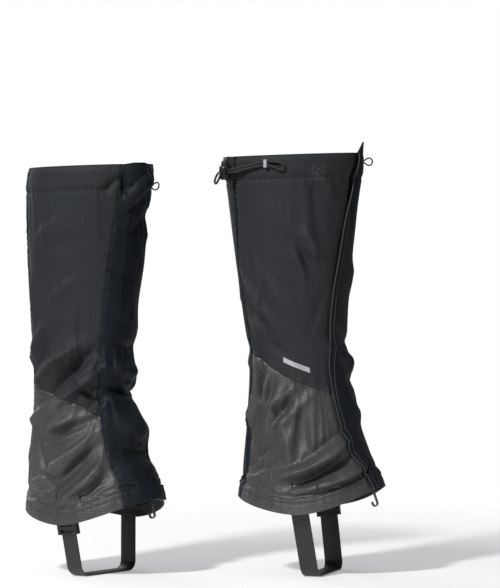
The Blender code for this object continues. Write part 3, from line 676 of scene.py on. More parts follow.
def on_cloth(side, angle, height, standoff=0.0):
    """Points a standoff outside the simulated surface, and the outward normals there."""
    angle, height = np.broadcast_arrays(np.asarray(angle, float), np.asarray(height, float))
    turn, climb = 1.2, 0.0014
    round_leg = surface(side, angle + turn, height) - surface(side, angle - turn, height)
    up_leg = surface(side, angle, height + climb) - surface(side, angle, height - climb)
    normal = np.cross(round_leg, up_leg) * SIDES[side]["inner"]
    normal /= np.maximum(np.linalg.norm(normal, axis=-1, keepdims=True), 1e-12)
    return surface(side, angle, height) + normal * np.asarray(standoff)[..., None], normal


# ---------------------------------------------------------------- fabric pieces
SEAM_DIP, SEAM_WIDTH = 0.0011, 0.0016
EDGE_STEPS = (0.0, 0.0006, 0.0013, 0.0022)     # extra rows of points beside each edge, in metres
METRES_PER_DEG = 0.00096                       # round the leg, about
CLOTH = 0.0009                                 # one layer of fabric
TOP_ROW, BOTTOM_ROW = 0.026, 0.011             # the hems' rows of stitches, from the edges
GROOVE, GROOVE_WIDTH = 0.0006, 0.0018
CHANNEL_SWELL, PUCKER = 0.0011, 0.00035
RIPPLE, RIPPLE_REACH = 0.0004, 0.006           # of the cloth beside a seam
RIPPLE_PITCH, RIPPLE_DRIFT = 0.0093, 0.041
DUST, DUST_REACH, DUSTY_CREASE = 0.8, 0.0035, 0.005
LEAST_SHEET = 0.0105                           # what is less tall than this is trim, not a sheet
STRIP_SIDES = 8


def shares(length, spacing):
    """Shares from 0 to 1 across a patch: fine beside its edges, spacing apart between them."""
    edge = np.array(EDGE_STEPS) / max(length, 4 * EDGE_STEPS[-1])
    count = max(2, round(length * (1 - 2 * edge[-1]) / spacing))
    inside = np.linspace(edge[-1], 1 - edge[-1], count + 1)[1:-1]
    return np.concatenate([edge, inside, 1 - edge[::-1]])


def patch_layout(edges, levels, across, up):
    """Angles and heights of a patch's points at the shares across and up it."""
    u, v = np.meshgrid(across, up)
    height = np.full(u.shape, TOP / 2)
    angle = np.zeros(u.shape)
    for _ in range(8):
        low, high = edges[0](height), edges[1](height)
        angle = low + (high - low) * u
        bottom, top = levels[0](angle), levels[1](angle)
        height = bottom + (top - bottom) * v
    return u, v, angle, height


def hem_shape(angle, height):
    """The drawcord channel's swell, and the grooves that the hems' rows of stitches pull in."""
    from_top, from_bottom = upper_hem(angle) - height, height - lower_hem(angle)
    swell = CHANNEL_SWELL * ramp(from_top / 0.006) * ramp((TOP_ROW - from_top) / 0.007)
    turn = np.radians(angle)
    pucker = np.sin(turn * 43 + 3 * np.sin(turn * 7)) * np.exp(-((from_top - TOP_ROW) / 0.009) ** 2)
    waves = np.sin(turn * 37 + 2 * np.sin(turn * 11))
    pucker = pucker + waves * np.exp(-((from_bottom - BOTTOM_ROW) / 0.007) ** 2)
    rows = (np.exp(-((from_top - TOP_ROW) / GROOVE_WIDTH) ** 2)
            + np.exp(-((from_bottom - BOTTOM_ROW) / GROOVE_WIDTH) ** 2))
    return swell - GROOVE * rows + PUCKER * pucker


def cloth_piece(name, side, edges, levels, finish, lift=None, thickness=CLOTH, spacing=0.0018,
                sewn=(False,) * 4, rubbed=(True,) * 4):
    """One piece of cloth laid on the simulated surface between two edges and two levels.

    lift(angle, height) is how far its outer face stands off the surface; sewn and rubbed say which
    of its left, right, bottom and top edges dip into a seam and which have caught the dust. Its cut
    is declared from the design's smooth surface at that lift, before creases and simulation.
    """
    probe = patch_layout(edges, levels, np.linspace(0, 1, 9), np.linspace(0, 1, 9))
    points = surface(side, probe[2], probe[3])
    wide = np.linalg.norm(np.diff(points, axis=1), axis=-1).sum(axis=1).max()
    tall = np.linalg.norm(np.diff(points, axis=0), axis=-1).sum(axis=0).max()
    u, v, angle, height = patch_layout(edges, levels, shares(wide, spacing), shares(tall, spacing))
    gaps = (u * wide, (1 - u) * wide, v * tall, (1 - v) * tall)
    along = (height, height, angle * METRES_PER_DEG, angle * METRES_PER_DEG)
    rise = np.zeros(u.shape)
    for gap, run, is_sewn in zip(gaps, along, sewn):
        if is_sewn:
            drift = 2.5 * np.sin(run * 2 * math.pi / RIPPLE_DRIFT)
            ripple = np.sin(run * 2 * math.pi / RIPPLE_PITCH + drift)
            rise = rise + RIPPLE * ripple * np.exp(-(gap / RIPPLE_REACH) ** 2)
            rise = rise - SEAM_DIP * np.exp(-(gap / SEAM_WIDTH) ** 2)
    rise = np.maximum(rise, -1.2 * SEAM_DIP)
    if lift:
        rise = rise + lift(angle, height)
    points, _ = on_cloth(side, angle, height, rise)
    rows, columns = u.shape
    mesh = mesh_of(name, points, grid_faces(rows, columns, False, SIDES[side]["inner"] < 0))
    worn = np.clip(crease_standoff(side, angle, height) / DUSTY_CREASE, 0, 1) * DUST
    for gap, is_rubbed in zip(gaps, rubbed):
        worn = worn + DUST * is_rubbed * np.exp(-gap / DUST_REACH)
    layer = mesh.attributes.new("worn", "FLOAT", "POINT")
    layer.data.foreach_set("value", np.clip(worn, 0, 1).reshape(-1).astype(np.float32))
    loops = np.empty(len(mesh.loops), np.int32)
    mesh.loops.foreach_get("vertex_index", loops)
    flat = np.stack([angle * METRES_PER_DEG, height], axis=-1).reshape(-1, 2)
    uv = mesh.uv_layers.new(name="cloth")
    uv.data.foreach_set("uv", flat[loops].reshape(-1).astype(np.float32))
    mesh.shade_smooth()
    made = add(name, mesh, finish)
    solid = made.modifiers.new("thickness", "SOLIDIFY")
    solid.thickness = thickness
    solid.offset = -1.0
    if tall > LEAST_SHEET:
        cut = design_point(side, angle, height, lift(angle, height) if lift else 0.0)
    return made


def strip_along(name, path, normal, half_out, half_across, finish):
    """A rounded strip swept along a path, with its ends closed."""
    ahead = unit(np.gradient(path, axis=0))
    across = unit(np.cross(ahead, normal))
    out = np.cross(across, ahead)
    turn = np.arange(STRIP_SIDES) * 2 * math.pi / STRIP_SIDES
    rings = (path[:, None] + half_out * np.cos(turn)[None, :, None] * out[:, None]
             + half_across * np.sin(turn)[None, :, None] * across[:, None])
    made = add(name, closed_mesh(name, rings, tube_faces(len(path), STRIP_SIDES)), finish)
    return made


# Stitches take the light thread by default: black thread painted light grey as a painted highlight.
def stitch_row(name, side, angle, height, lift, finish="thread", pitch=0.0029, length=0.0020,
               radius=0.0003, across=False):
    """A row of separate stitches along a line on the cloth; across lays each one square to the line."""
    path, normal = on_cloth(side, angle, height, lift(angle, height))
    run = run_along(path)
    count = max(2, int(run[-1] / pitch))
    at = (np.arange(count) + 0.5) * run[-1] / count
    middle, out = read_along(at, run, path), read_along(at, run, normal)
    ahead = unit(read_along(at, run, np.gradient(path, run, axis=0)))
    aside = np.cross(ahead, out)
    if across:
        ahead, aside = aside, ahead
    turn = np.arange(6) * math.pi / 3
    shape = [(-0.5, 0.0, 0.0)]
    for share in (-0.28, 0.28):
        shape += [(share, radius * math.cos(a), radius * math.sin(a)) for a in turn]
    shape += [(0.5, 0.0, 0.0)]
    shape = np.array(shape)
    points = (middle[:, None] + shape[None, :, :1] * length * ahead[:, None]
              + shape[None, :, 1:2] * aside[:, None] + shape[None, :, 2:] * out[:, None])
    one = [(0, 1 + (k + 1) % 6, 1 + k) for k in range(6)]
    one += [(1 + k, 1 + (k + 1) % 6, 7 + (k + 1) % 6, 7 + k) for k in range(6)]
    one += [(13, 7 + k, 7 + (k + 1) % 6) for k in range(6)]
    faces = [[n * 14 + i for i in face] for n in range(count) for face in one]
    made = add(name, closed_mesh(name, points, faces), finish)
    return made


def panels(side):
    """The five panels of the leg tube."""
    outer = (lambda h: -back_seam(h), flap_root)
    inner = (inner_panel_edge, back_seam)
    back = (back_seam, lambda h: 360 - back_seam(h))
    made = {
        "inner_calf_panel": (inner, (inner_patch_top, upper_hem), "calf_fabric", (0, 1, 1, 0)),
        "outer_calf_panel": (outer, (outer_patch_top, upper_hem), "calf_fabric", (1, 1, 1, 0)),
        "inner_instep_patch": (inner, (lower_hem, inner_patch_top), "ripstop_fabric", (0, 1, 0, 1)),
        "outer_instep_patch": (outer, (lower_hem, outer_patch_top), "ripstop_fabric", (1, 1, 0, 1)),
        "back_panel": (back, (lower_hem, upper_hem), "stretch_fabric", (1, 1, 0, 0)),
    }
    for node, (edges, levels, finish, sewn) in made.items():
        piece = cloth_piece(f"{side}_{node}_cloth", side, edges, levels, finish, hem_shape, sewn=sewn)
        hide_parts(f"{side}_{node}")
        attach(piece, side + "_gaiter")


# ---------------------------------------------------------------- the flap
NOTCH_SLOPE = {"left": 0.205, "right": 0.245}  # each side of the fold between the flap's halves
NOTCH_START_DEG = 10                           # from the seam to where the fold begins
FLAP_FOOT = 0.096                              # height of the flap's lower end
LAP_RISE, TOP_RISE, LIP_RISE, LIP_PITCH = 0.0034, 0.0024, 0.0007, 0.083
STITCH_GROOVE, STITCH_INSET = 0.0009, 0.0032   # the groove's depth and its distance from the edge
UNDER_GAP = 0.0002                             # between a cloth's inner face and what lies under it
STRIP_INSET, STRIP_END, TAPE_SPACING = 6.5, 0.006, 0.003     # degrees, then metres
STRIP_EDGES = (lambda h: inner_panel_edge(h) + 2, lambda h: flap_edge(h) - STRIP_INSET)
HOOK_EDGES = (STRIP_EDGES[0],
              lambda h: flap_edge(h) - STRIP_INSET + 9.0 * np.exp(-((h - 0.148) / 0.022) ** 2))


def split(side, angle):
    """Half the fold's height at an angle: how far each half stops short of the ankle line."""
    away = np.asarray(angle) - flap_root(ANKLE) - NOTCH_START_DEG
    return 0.00003 + NOTCH_SLOPE[side] * METRES_PER_DEG * np.maximum(away, 0.0)


def flap_top(side):
    tip = FLAP_TIP_RISE[side]
    return lambda a: upper_hem(a) + tip * ramp((a + 26) / 12) * ramp((6 - a) / 12)


def flap_lift(angle, height):
    """How far the flap's outer face stands off: flush at its seam, over its strips at its edge."""
    away = (angle - flap_root(height)) * METRES_PER_DEG
    edge = (flap_edge(height) - angle) * METRES_PER_DEG
    lap = (LAP_RISE * ramp(away / 0.020)
           + TOP_RISE * ramp((height - 0.385) / 0.055) * ramp(away / 0.012))
    lip = LIP_RISE * np.sin(height * 2 * math.pi / LIP_PITCH + 1.0) * np.exp(-(edge / 0.010) ** 2)
    groove = -STITCH_GROOVE * np.exp(-((edge - STITCH_INSET) / 0.0012) ** 2)
    return lap + lip + groove + hem_shape(angle, height)


def bend(piece, side, half):
    """Bake a piece's transform into its mesh; the seam and the hinge of its half of the flap are found but not
    used.
    """
    low, high = (ANKLE, TOP) if half == "upper" else (FLAP_FOOT, ANKLE)
    middle = (low + high) / 2
    root = flap_root(middle)
    start, _ = on_cloth(side, np.array(root), np.array(middle), 0.0)
    ahead, _ = on_cloth(side, np.array(root + 12.0), np.array(middle), 0.0)
    joint = JOINTS[f"{side}_flap_{half}_open"]
    axis = Vector(joint["axis"]).normalized()
    way = Vector(ahead - start)
    way = (way - axis * way.dot(axis)).normalized()
    start = Vector(start)
    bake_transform(piece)


def flap(side):
    """The front flap in its two halves, with the fold of cloth between them."""
    edges = (flap_root, flap_edge)
    halves = {
        "upper": (lambda a: ANKLE + split(side, a), flap_top(side)),
        "lower": (lower_hem, lambda a: ANKLE - split(side, a)),
    }
    for half, levels in halves.items():
        seams = (True, True, half == "lower", half == "upper")
        piece = cloth_piece(f"{side}_flap_{half}_cloth", side, edges, levels, "stretch_fabric", flap_lift,
                            sewn=(True, False, False, False), rubbed=seams)
        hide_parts(f"{side}_flap_{half}")
        bend(piece, side, half)
    fold_edges = (level(flap_root(ANKLE) + NOTCH_START_DEG), flap_edge)
    fold_levels = (lambda a: ANKLE - split(side, a) + 0.00004, lambda a: ANKLE + split(side, a) - 0.00004)
    fold = cloth_piece(side + "_flap_fold", side, fold_edges, fold_levels, "stretch_fabric", flap_lift,
                       rubbed=(False,) * 4)
    crumple(fold, side)
    lining = cloth_piece(side + "_flap_fold_lining", side, fold_edges, fold_levels, "stretch_fabric",
                         under_flap, thickness=0.0006, spacing=TAPE_SPACING)
    crumple(lining, side, "upper")
    edge_trims(side)
    strips = {
        "upper": (lambda a: ANKLE + split(side, a) + 0.003, lambda a: upper_hem(a) - STRIP_END),
        "lower": (lambda a: lower_hem(a) + STRIP_END, lambda a: ANKLE - split(side, a) - 0.003),
    }
    for half, levels in strips.items():
        strip = cloth_piece(f"{side}_loop_strip_{half}_tape", side, STRIP_EDGES, levels, "hook_and_loop",
                            under_flap, thickness=0.0008, spacing=TAPE_SPACING)
        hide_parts(f"{side}_loop_strip_{half}")
        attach(strip, f"{side}_flap_{half}_body")


def under_flap(angle, height):
    """The standoff of what lies against the flap's inner face."""
    return flap_lift(angle, height) - CLOTH - UNDER_GAP


def crumple(piece, side, half="lower"):
    """Let a fold ride on one half of the flap."""
    corners = np.array([flap_root(ANKLE) + NOTCH_START_DEG, 0.0, float(flap_edge(ANKLE))])
    rise = split(side, corners) * (1 if half == "upper" else -1)
    spots, _ = on_cloth(side, corners, ANKLE + rise, 0.003)
    one, two, three = (Vector(spot) for spot in spots)
    axis = (two - one).cross(three - one).normalized()
    if axis.z < 0:
        axis = -axis
    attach(piece, f"{side}_flap_{half}_body")
    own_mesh(piece)


def edge_trims(side):
    """The light piping and the row of stitches along the flap's free edge."""
    rise = float(split(side, flap_edge(ANKLE)))
    top = float(flap_top(side)(np.array(float(flap_edge(0.449)))))
    low = float(lower_hem(np.array(float(flap_edge(FRONT_FOOT)))))
    gap = 0.0002
    spans = {"upper": (ANKLE + rise + gap, top), "fold": (ANKLE - rise + gap, ANKLE + rise - gap),
             "lower": (low, ANKLE - rise - gap)}
    for half, (start, stop) in spans.items():
        height = np.linspace(start, stop, max(6, int((stop - start) / 0.0022)))
        edge = flap_edge(height)
        path, normal = on_cloth(side, edge, height, flap_lift(edge, height) - 0.0004)
        piping = strip_along(f"{side}_flap_{half}_piping", path, normal, 0.0008, 0.0007, "piping")
        # The flap's edge stitches take the default light thread: black thread with a painted highlight.
        row = stitch_row(f"{side}_flap_{half}_edge_stitches", side, edge - 5.6, height, flap_lift)
        for piece in (piping, row):
            if half == "fold":
                crumple(piece, side)
            else:
                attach(piece, f"{side}_flap_{half}_body")


# ---------------------------------------------------------------- bands inside and on the panels
def bands(side):
    """The hem facing and tape, the ankle elastic, the hook strip and the reflective bar."""
    body = side + "_gaiter"
    ring = (level(float(inner_panel_edge(TOP)) + 1), level(358.6 + flap_root(TOP)))
    hem_ring = (level(float(inner_panel_edge(FRONT_FOOT)) + 2), level(358.0 + flap_root(FRONT_FOOT)))
    past_row = 0.001               # how far a band reaches past its row of stitches
    channel_depth = 0.0046

    def channel(angle, height):
        share = np.clip((height - upper_hem(angle) + TOP_ROW + past_row) / (TOP_ROW + past_row), 0, 1)
        return -0.0011 - channel_depth * np.sqrt(np.sin(math.pi * share).clip(0, 1))

    def inside(angle, height):
        return hem_shape(angle, height) - CLOTH - UNDER_GAP

    pieces = {
        "top_hem_facing": (
            ring, (lambda a: upper_hem(a) - TOP_ROW - past_row, lambda a: upper_hem(a) - 0.0002),
            "calf_fabric", channel, 0.0007, 0.002),
        "bottom_hem_tape": (
            hem_ring, (lambda a: lower_hem(a) + 0.0005, lambda a: lower_hem(a) + BOTTOM_ROW + past_row),
            "black_webbing", inside, 0.0008, TAPE_SPACING),
        "ankle_elastic": (
            (level(95), level(265)), (level(ANKLE + 0.012), level(ANKLE + 0.030)),
            "black_webbing", inside, 0.0011, TAPE_SPACING),
        "hook_strip": (
            HOOK_EDGES, (lambda a: lower_hem(a) + STRIP_END, lambda a: upper_hem(a) - STRIP_END),
            "hook_and_loop", lambda a, h: hem_shape(a, h) + 0.0009, 0.0008, TAPE_SPACING),
        "reflective_bar": (
            (level(62), level(93)),
            (lambda a: inner_patch_top(a) + 0.0150, lambda a: inner_patch_top(a) + 0.0205),
            "reflective_print", lambda a, h: hem_shape(a, h) + 0.00022, 0.0002, 0.0018),
    }
    for node, (edges, levels, finish, lift, thickness, spacing) in pieces.items():
        piece = cloth_piece(f"{side}_{node}_cloth", side, edges, levels, finish, lift, thickness=thickness,
                            spacing=spacing)
        if node == "reflective_bar":
            lay_print(piece, side)
        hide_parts(f"{side}_{node}")
        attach(piece, body)


def lay_print(piece, side):
    """Lay the printed bar on the finished calf panel: its outer face 0.3 mm above, its inner 0.1."""
    reach = 0.012
    panel = bpy.data.objects[side + "_inner_calf_panel_cloth"]
    cloth = bmesh.new()
    cloth.from_mesh(panel.data)
    cloth.transform(panel.matrix_world)
    tree = BVHTree.FromBMesh(cloth)
    cloth.free()
    middle = sum((v.co for v in piece.data.vertices), Vector()) / len(piece.data.vertices)
    hit, out, _, _ = tree.find_nearest(middle)
    if (out.y > 0) != (SIDES[side]["inner"] > 0):
        out = -out
    for vertex in piece.data.vertices:
        hit = tree.ray_cast(vertex.co + reach * out, -out, 2 * reach)[0]
        if hit is not None:
            vertex.co = hit + out * (0.0003 if vertex.normal.dot(out) > 0 else 0.0001)


def hems_and_edges(side):
    """The turned edges of the hems and the bound front edge of the inner panels."""
    front_top, front_low = float(inner_panel_edge(TOP)), float(inner_panel_edge(FRONT_FOOT))
    round_leg = np.linspace(front_top, 360 + float(flap_root(TOP)), 170)
    round_foot = np.linspace(front_low, 360 + float(flap_root(FRONT_FOOT)), 190)
    up_front = np.linspace(0.097, TOP - 0.001, 170)
    lines = {
        "top_hem_edge": (round_leg, upper_hem(round_leg), hem_shape, "calf_fabric", 0.0008),
        "bottom_hem_edge": (round_foot, lower_hem(round_foot), hem_shape, "ripstop_fabric", 0.0007),
        "front_edge_binding": (inner_panel_edge(up_front), up_front, hem_shape, "black_webbing", 0.0007),
    }
    for name, (angle, height, lift, finish, reach) in lines.items():
        path, normal = on_cloth(side, angle, height, lift(angle, height) - CLOTH / 2)
        piece = strip_along(f"{side}_{name}", path, normal, CLOTH / 2 + 0.00022, reach, finish)
        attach(piece, side + "_gaiter")
    across_top = np.linspace(float(flap_root(TOP)), float(flap_edge(TOP)), 60)
    across_foot = np.linspace(float(flap_root(FRONT_FOOT)), float(flap_edge(FLAP_FOOT)), 60)
    for half, angle, height in (("upper", across_top, flap_top(side)(across_top)),
                                ("lower", across_foot, lower_hem(across_foot))):
        path, normal = on_cloth(side, angle, height, flap_lift(angle, height) - CLOTH / 2)
        piece = strip_along(f"{side}_flap_{half}_hem_edge", path, normal, CLOTH / 2 + 0.0002, 0.0007,
                            "stretch_fabric")
        bend(piece, side, half)


# ---------------------------------------------------------------- stitching
BOX_CENTRES = {"inner": (51.5, 0.434, 5.6, 0.0052), "outer": (-62, 0.4275, 4.2, 0.0034)}
BOX_PATH = np.array([(-1, -1), (1, -1), (1, 1), (-1, 1), (-1, -1), (1, 1), (1, -1), (-1, 1)], float)
TACKS = ((71, 0.0985), (93, 0.0985))     # (angle, lower end) of the bar tacks beside each strap anchor
TACK_LENGTH = 0.0072
TOP_PITCH, SEAM_PITCH, BOX_PITCH = 0.0037, 0.0029, 0.0026    # from stitch to stitch
BESIDE_BACK, BESIDE_ROOT, BELOW_PATCH = 2.4, 2.6, 0.0024     # degrees, degrees and metres from a seam


def seam_run(edge, turn, count=200):
    """Angles and heights along a seam, turn degrees beside it, from just over one hem to the other."""
    share, height = np.linspace(0, 1, count), np.full(count, 0.2)
    for _ in range(6):
        angle = edge(height) + turn
        low, high = lower_hem(angle) + 0.002, upper_hem(angle) - 0.003
        height = low + (high - low) * share
    return edge(height) + turn, height


def stitching(side):
    """Every row of stitches, the box stitches by the top hem and the bar tacks over the strap."""
    body = side + "_gaiter"
    start_top, start_low = float(inner_panel_edge(TOP)) + 3, float(inner_panel_edge(FRONT_FOOT)) + 3
    inner_hem = np.linspace(start_top, 180, 130)
    outer_hem = np.linspace(180, 359 + float(flap_root(TOP)), 130)
    round_foot = np.linspace(start_low, 359 + float(flap_root(FRONT_FOOT)), 260)
    inner_run, outer_run = np.linspace(30, 148, 120), np.linspace(-150, -38, 120)
    rows = {
        # The inner half of the top hem is sewn with the light thread, black thread with a painted highlight; the
        # outer half stays black.
        "top_hem_inner": (inner_hem, upper_hem(inner_hem) - TOP_ROW, "thread"),
        "top_hem_outer": (outer_hem, upper_hem(outer_hem) - TOP_ROW, "black_thread"),
        "bottom_hem": (round_foot, lower_hem(round_foot) + BOTTOM_ROW, "black_thread"),
        "inner_back_seam": (*seam_run(back_seam, -BESIDE_BACK), "black_thread"),
        "outer_back_seam": (*seam_run(lambda h: 360 - back_seam(h), BESIDE_BACK), "black_thread"),
        "inner_patch": (inner_run, inner_patch_top(inner_run) - BELOW_PATCH, "black_thread"),
        "outer_patch": (outer_run, outer_patch_top(outer_run) - BELOW_PATCH, "black_thread"),
        "front_seam": (*seam_run(flap_root, -BESIDE_ROOT), "black_thread"),
    }
    for name, (angle, rise, finish) in rows.items():
        pitch = TOP_PITCH if name.startswith("top_hem") else SEAM_PITCH
        row = stitch_row(f"{side}_{name}_stitches", side, angle, rise, hem_shape, finish, pitch=pitch)
        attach(row, body)
    for where, (middle, centre, wide, tall) in BOX_CENTRES.items():
        share = np.linspace(0, len(BOX_PATH) - 1, 90)
        spots = read_along(share, np.arange(len(BOX_PATH)), BOX_PATH)
        angle, rise = middle + wide * spots[:, 0], centre + tall * spots[:, 1]
        # The inner box takes the light thread, black thread with a painted highlight; the outer box stays black.
        finish = "thread" if where == "inner" else "black_thread"
        row = stitch_row(f"{side}_{where}_box_stitches", side, angle, rise, hem_shape, finish,
                         pitch=BOX_PITCH, length=0.0015)
        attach(row, body)
    for where, sign in (("inner", 1), ("outer", -1)):
        for n, (angle, low) in enumerate(TACKS):
            rise = np.linspace(low, low + TACK_LENGTH, 12)
            row = stitch_row(f"{side}_{where}_bar_tack_{n + 1}", side, np.full(12, sign * float(angle)),
                             rise, hem_shape, "black_thread", pitch=0.00055, length=0.0019, radius=0.0004,
                             across=True)
            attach(row, body)
    across_top = np.linspace(float(flap_root(0.425)) + 3, float(flap_edge(0.425)) - 3, 60)
    across_foot = np.linspace(float(flap_root(0.105)) + 3, float(flap_edge(0.105)) - 3, 60)
    upper, lower = np.linspace(ANKLE + 0.001, TOP - 0.003, 120), np.linspace(0.098, ANKLE - 0.001, 90)
    flap_rows = {
        "hem_upper": (across_top, upper_hem(across_top) - TOP_ROW, "upper"),
        "hem_lower": (across_foot, lower_hem(across_foot) + BOTTOM_ROW, "lower"),
        "root_upper": (flap_root(upper) + BESIDE_ROOT, upper, "upper"),
        "root_lower": (flap_root(lower) + BESIDE_ROOT, lower, "lower"),
    }
    for name, (angle, rise, half) in flap_rows.items():
        row = stitch_row(f"{side}_flap_{name}_stitches", side, angle, rise, flap_lift, "black_thread")
        bend(row, side, half)


# ---------------------------------------------------------------- cords
# The drawcord's loop outside the hem, as (angle, height, standoff) points, as in the CAD.
DRAWCORD_ROUTE = [
    (157, 0.4330, 0.0006), (158, 0.4325, 0.0040), (159.5, 0.4290, 0.0085), (159, 0.4235, 0.0118),
    (156, 0.4195, 0.0132), (151.5, 0.4190, 0.0128), (147.5, 0.4232, 0.0115), (144, 0.4281, 0.0107),
    (140.5, 0.4299, 0.0106), (136, 0.4300, 0.0105), (130, 0.4305, 0.0098), (122, 0.4320, 0.0075),
    (113, 0.4345, 0.0052), (104, 0.4372, 0.0042), (96, 0.4385, 0.0040), (90, 0.4368, 0.0041),
    (85.5, 0.4338, 0.0044), (82.2, 0.4340, 0.0046), (81.2, 0.4372, 0.0046), (83.5, 0.4408, 0.0045),
    (88.5, 0.4420, 0.0042), (96, 0.4416, 0.0040), (104, 0.4402, 0.0042), (113, 0.4378, 0.0052),
    (122, 0.4353, 0.0075), (130, 0.4334, 0.0098), (136, 0.4330, 0.0105), (140.5, 0.4330, 0.0105),
    (144.5, 0.4332, 0.0090), (148, 0.4334, 0.0062), (150.8, 0.4332, 0.0036), (151.8, 0.4330, 0.0006),
]
# The pull loop, a teardrop that stands out from the flap: (round, up, out) offsets in millimetres,
# as in the CAD.
PULL_LOOP = [(0, 0, 0.4), (0, 0.5, 2.4), (0, 1.7, 4.6), (0, 3.1, 6.8), (-0.2, 3.9, 9.1), (-0.6, 3.3, 11.3),
             (-1.2, 1.2, 12.6), (-1.6, -1.4, 12.4), (-2.0, -3.4, 10.7), (-2.3, -3.9, 8.3), (-2.4, -3.1, 5.9),
             (-2.4, -1.5, 3.9), (-2.4, -0.3, 2.1), (-2.4, 0, 0.4)]
PULL_LOOP_SPOT = {"left": (2, 0.4420), "right": (5, 0.4280)}
PULL_LOOP_STANDOFF = 0.0060


def curve_through(points, steps=8):
    """A smooth curve through a route's points."""
    points = np.asarray(points, float)
    padded = np.concatenate([points[:1], points, points[-1:]])
    made = []
    for i in range(len(points) - 1):
        for t in np.arange(steps) / steps:
            made.append(sum(w * p for w, p in zip(cubic(t), padded[i:i + 4])))
    made.append(points[-1])
    return np.array(made)


def braided_cord(name, side, points, diameter, body, node):
    """A braided elastic cord: a closed mesh tube, laid out by its turn and its run."""
    path = curve_through(points)
    run = run_along(path)
    count = int(run[-1] / (diameter / 3))
    at = np.linspace(0, run[-1], count + 1)
    path = read_along(at, run, path)
    ahead = unit(np.gradient(path, axis=0))
    out = np.cross(ahead[0], (0.3, 0.2, 1.0))
    frames = []
    for way in ahead:
        out = out - way * out.dot(way)
        out /= np.linalg.norm(out)
        frames.append((out, np.cross(way, out)))
    sides = 12
    turn = np.arange(sides) * 2 * math.pi / sides
    first, second = (np.array([f[k] for f in frames]) for k in (0, 1))
    rings = path[:, None] + diameter / 2 * (np.cos(turn)[None, :, None] * first[:, None]
                                            + np.sin(turn)[None, :, None] * second[:, None])
    mesh = bpy.data.meshes.new(name)
    mesh.from_pydata(rings.reshape(-1, 3).tolist(), [], tube_faces(len(path), sides, (True, False)))
    uv = mesh.uv_layers.new(name="cloth")
    for polygon in mesh.polygons[:-2]:
        for corner, loop in enumerate(polygon.loop_indices):
            vertex = mesh.loops[loop].vertex_index
            column = vertex % sides + (sides if corner in (1, 2) and vertex % sides == 0 else 0)
            uv.data[loop].uv = (column / sides, at[vertex // sides])
    mesh.shade_smooth()
    made = add(name, mesh, "cord_black")
    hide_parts(node)
    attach(made, body)


def cords(side):
    """The drawcord's loop and the flap's pull loop."""
    route = [design_point(side, *point) for point in DRAWCORD_ROUTE]
    braided_cord(side + "_drawcord_loop_braid", side, route, CORD, side + "_gaiter", side + "_drawcord_loop")
    origin, round_leg, out = fitting_axes(side, *PULL_LOOP_SPOT[side], PULL_LOOP_STANDOFF)
    up = np.array((0.0, 0.0, 1.0))
    loop = [origin + (a * round_leg + b * up + c * out) / 1000 for a, b, c in PULL_LOOP]
    braided_cord(side + "_flap_pull_loop_braid", side, loop, THIN_CORD, side + "_flap_upper_body",
                 side + "_flap_pull_loop")


def fitting_axes(side, angle, height, standoff):
    """A fitting's origin, its way round the leg and its way out, level as in the CAD."""
    origin = design_point(side, angle, height, standoff)
    out = design_point(side, angle, height, standoff + 0.003) - origin
    out[2] = 0.0
    out /= np.linalg.norm(out)
    ahead = (design_point(side, angle + 0.5, height, standoff)
             - design_point(side, angle - 0.5, height, standoff))
    round_leg = ahead - out * ahead.dot(out)
    return origin, round_leg / np.linalg.norm(round_leg), out


# ---------------------------------------------------------------- the underfoot strap
STRAP_WIDTH, STRAP_THICKNESS = 0.020, 0.0018
STRAP_FLAT, STRAP_CURVE = 0.034, 0.012            # half the run under the arch, and its end radius
STRAP_HALF, STRAP_TOP = 0.052, 0.072              # half the span and the height of its upper ends
STRAP_FORWARD = {"left": (0.009, 0.010), "right": (0.004, 0.006)}
STRAP_BEND_DEG, STRAP_STEP = 72, 0.0008
STRAP_SHARP = 42                                  # degrees between faces from which an edge looks sharp
RIB_PITCH, RIB_DEPTH, RIB_HALF_WIDTH = 0.0052, 0.00028, 0.0062
RIM_SLOPE, RIM_FLAT, RIM_INSIDE, EDGE_SHARE = 0.0003, 0.0010, 0.0008, 0.75


def strap_line(drop):
    """The strap's middle line as (across, height) points, from its outer end to its inner end."""
    half = [(0.0, STRAP_THICKNESS / 2)]
    for turn in np.radians(np.linspace(0, STRAP_BEND_DEG, 15)):
        half.append((STRAP_FLAT + STRAP_CURVE * math.sin(turn),
                     STRAP_THICKNESS / 2 + STRAP_CURVE * (1 - math.cos(turn))))
    half.append((STRAP_HALF, STRAP_TOP - drop))
    return np.array([(-across, height) for across, height in reversed(half)] + half[1:])


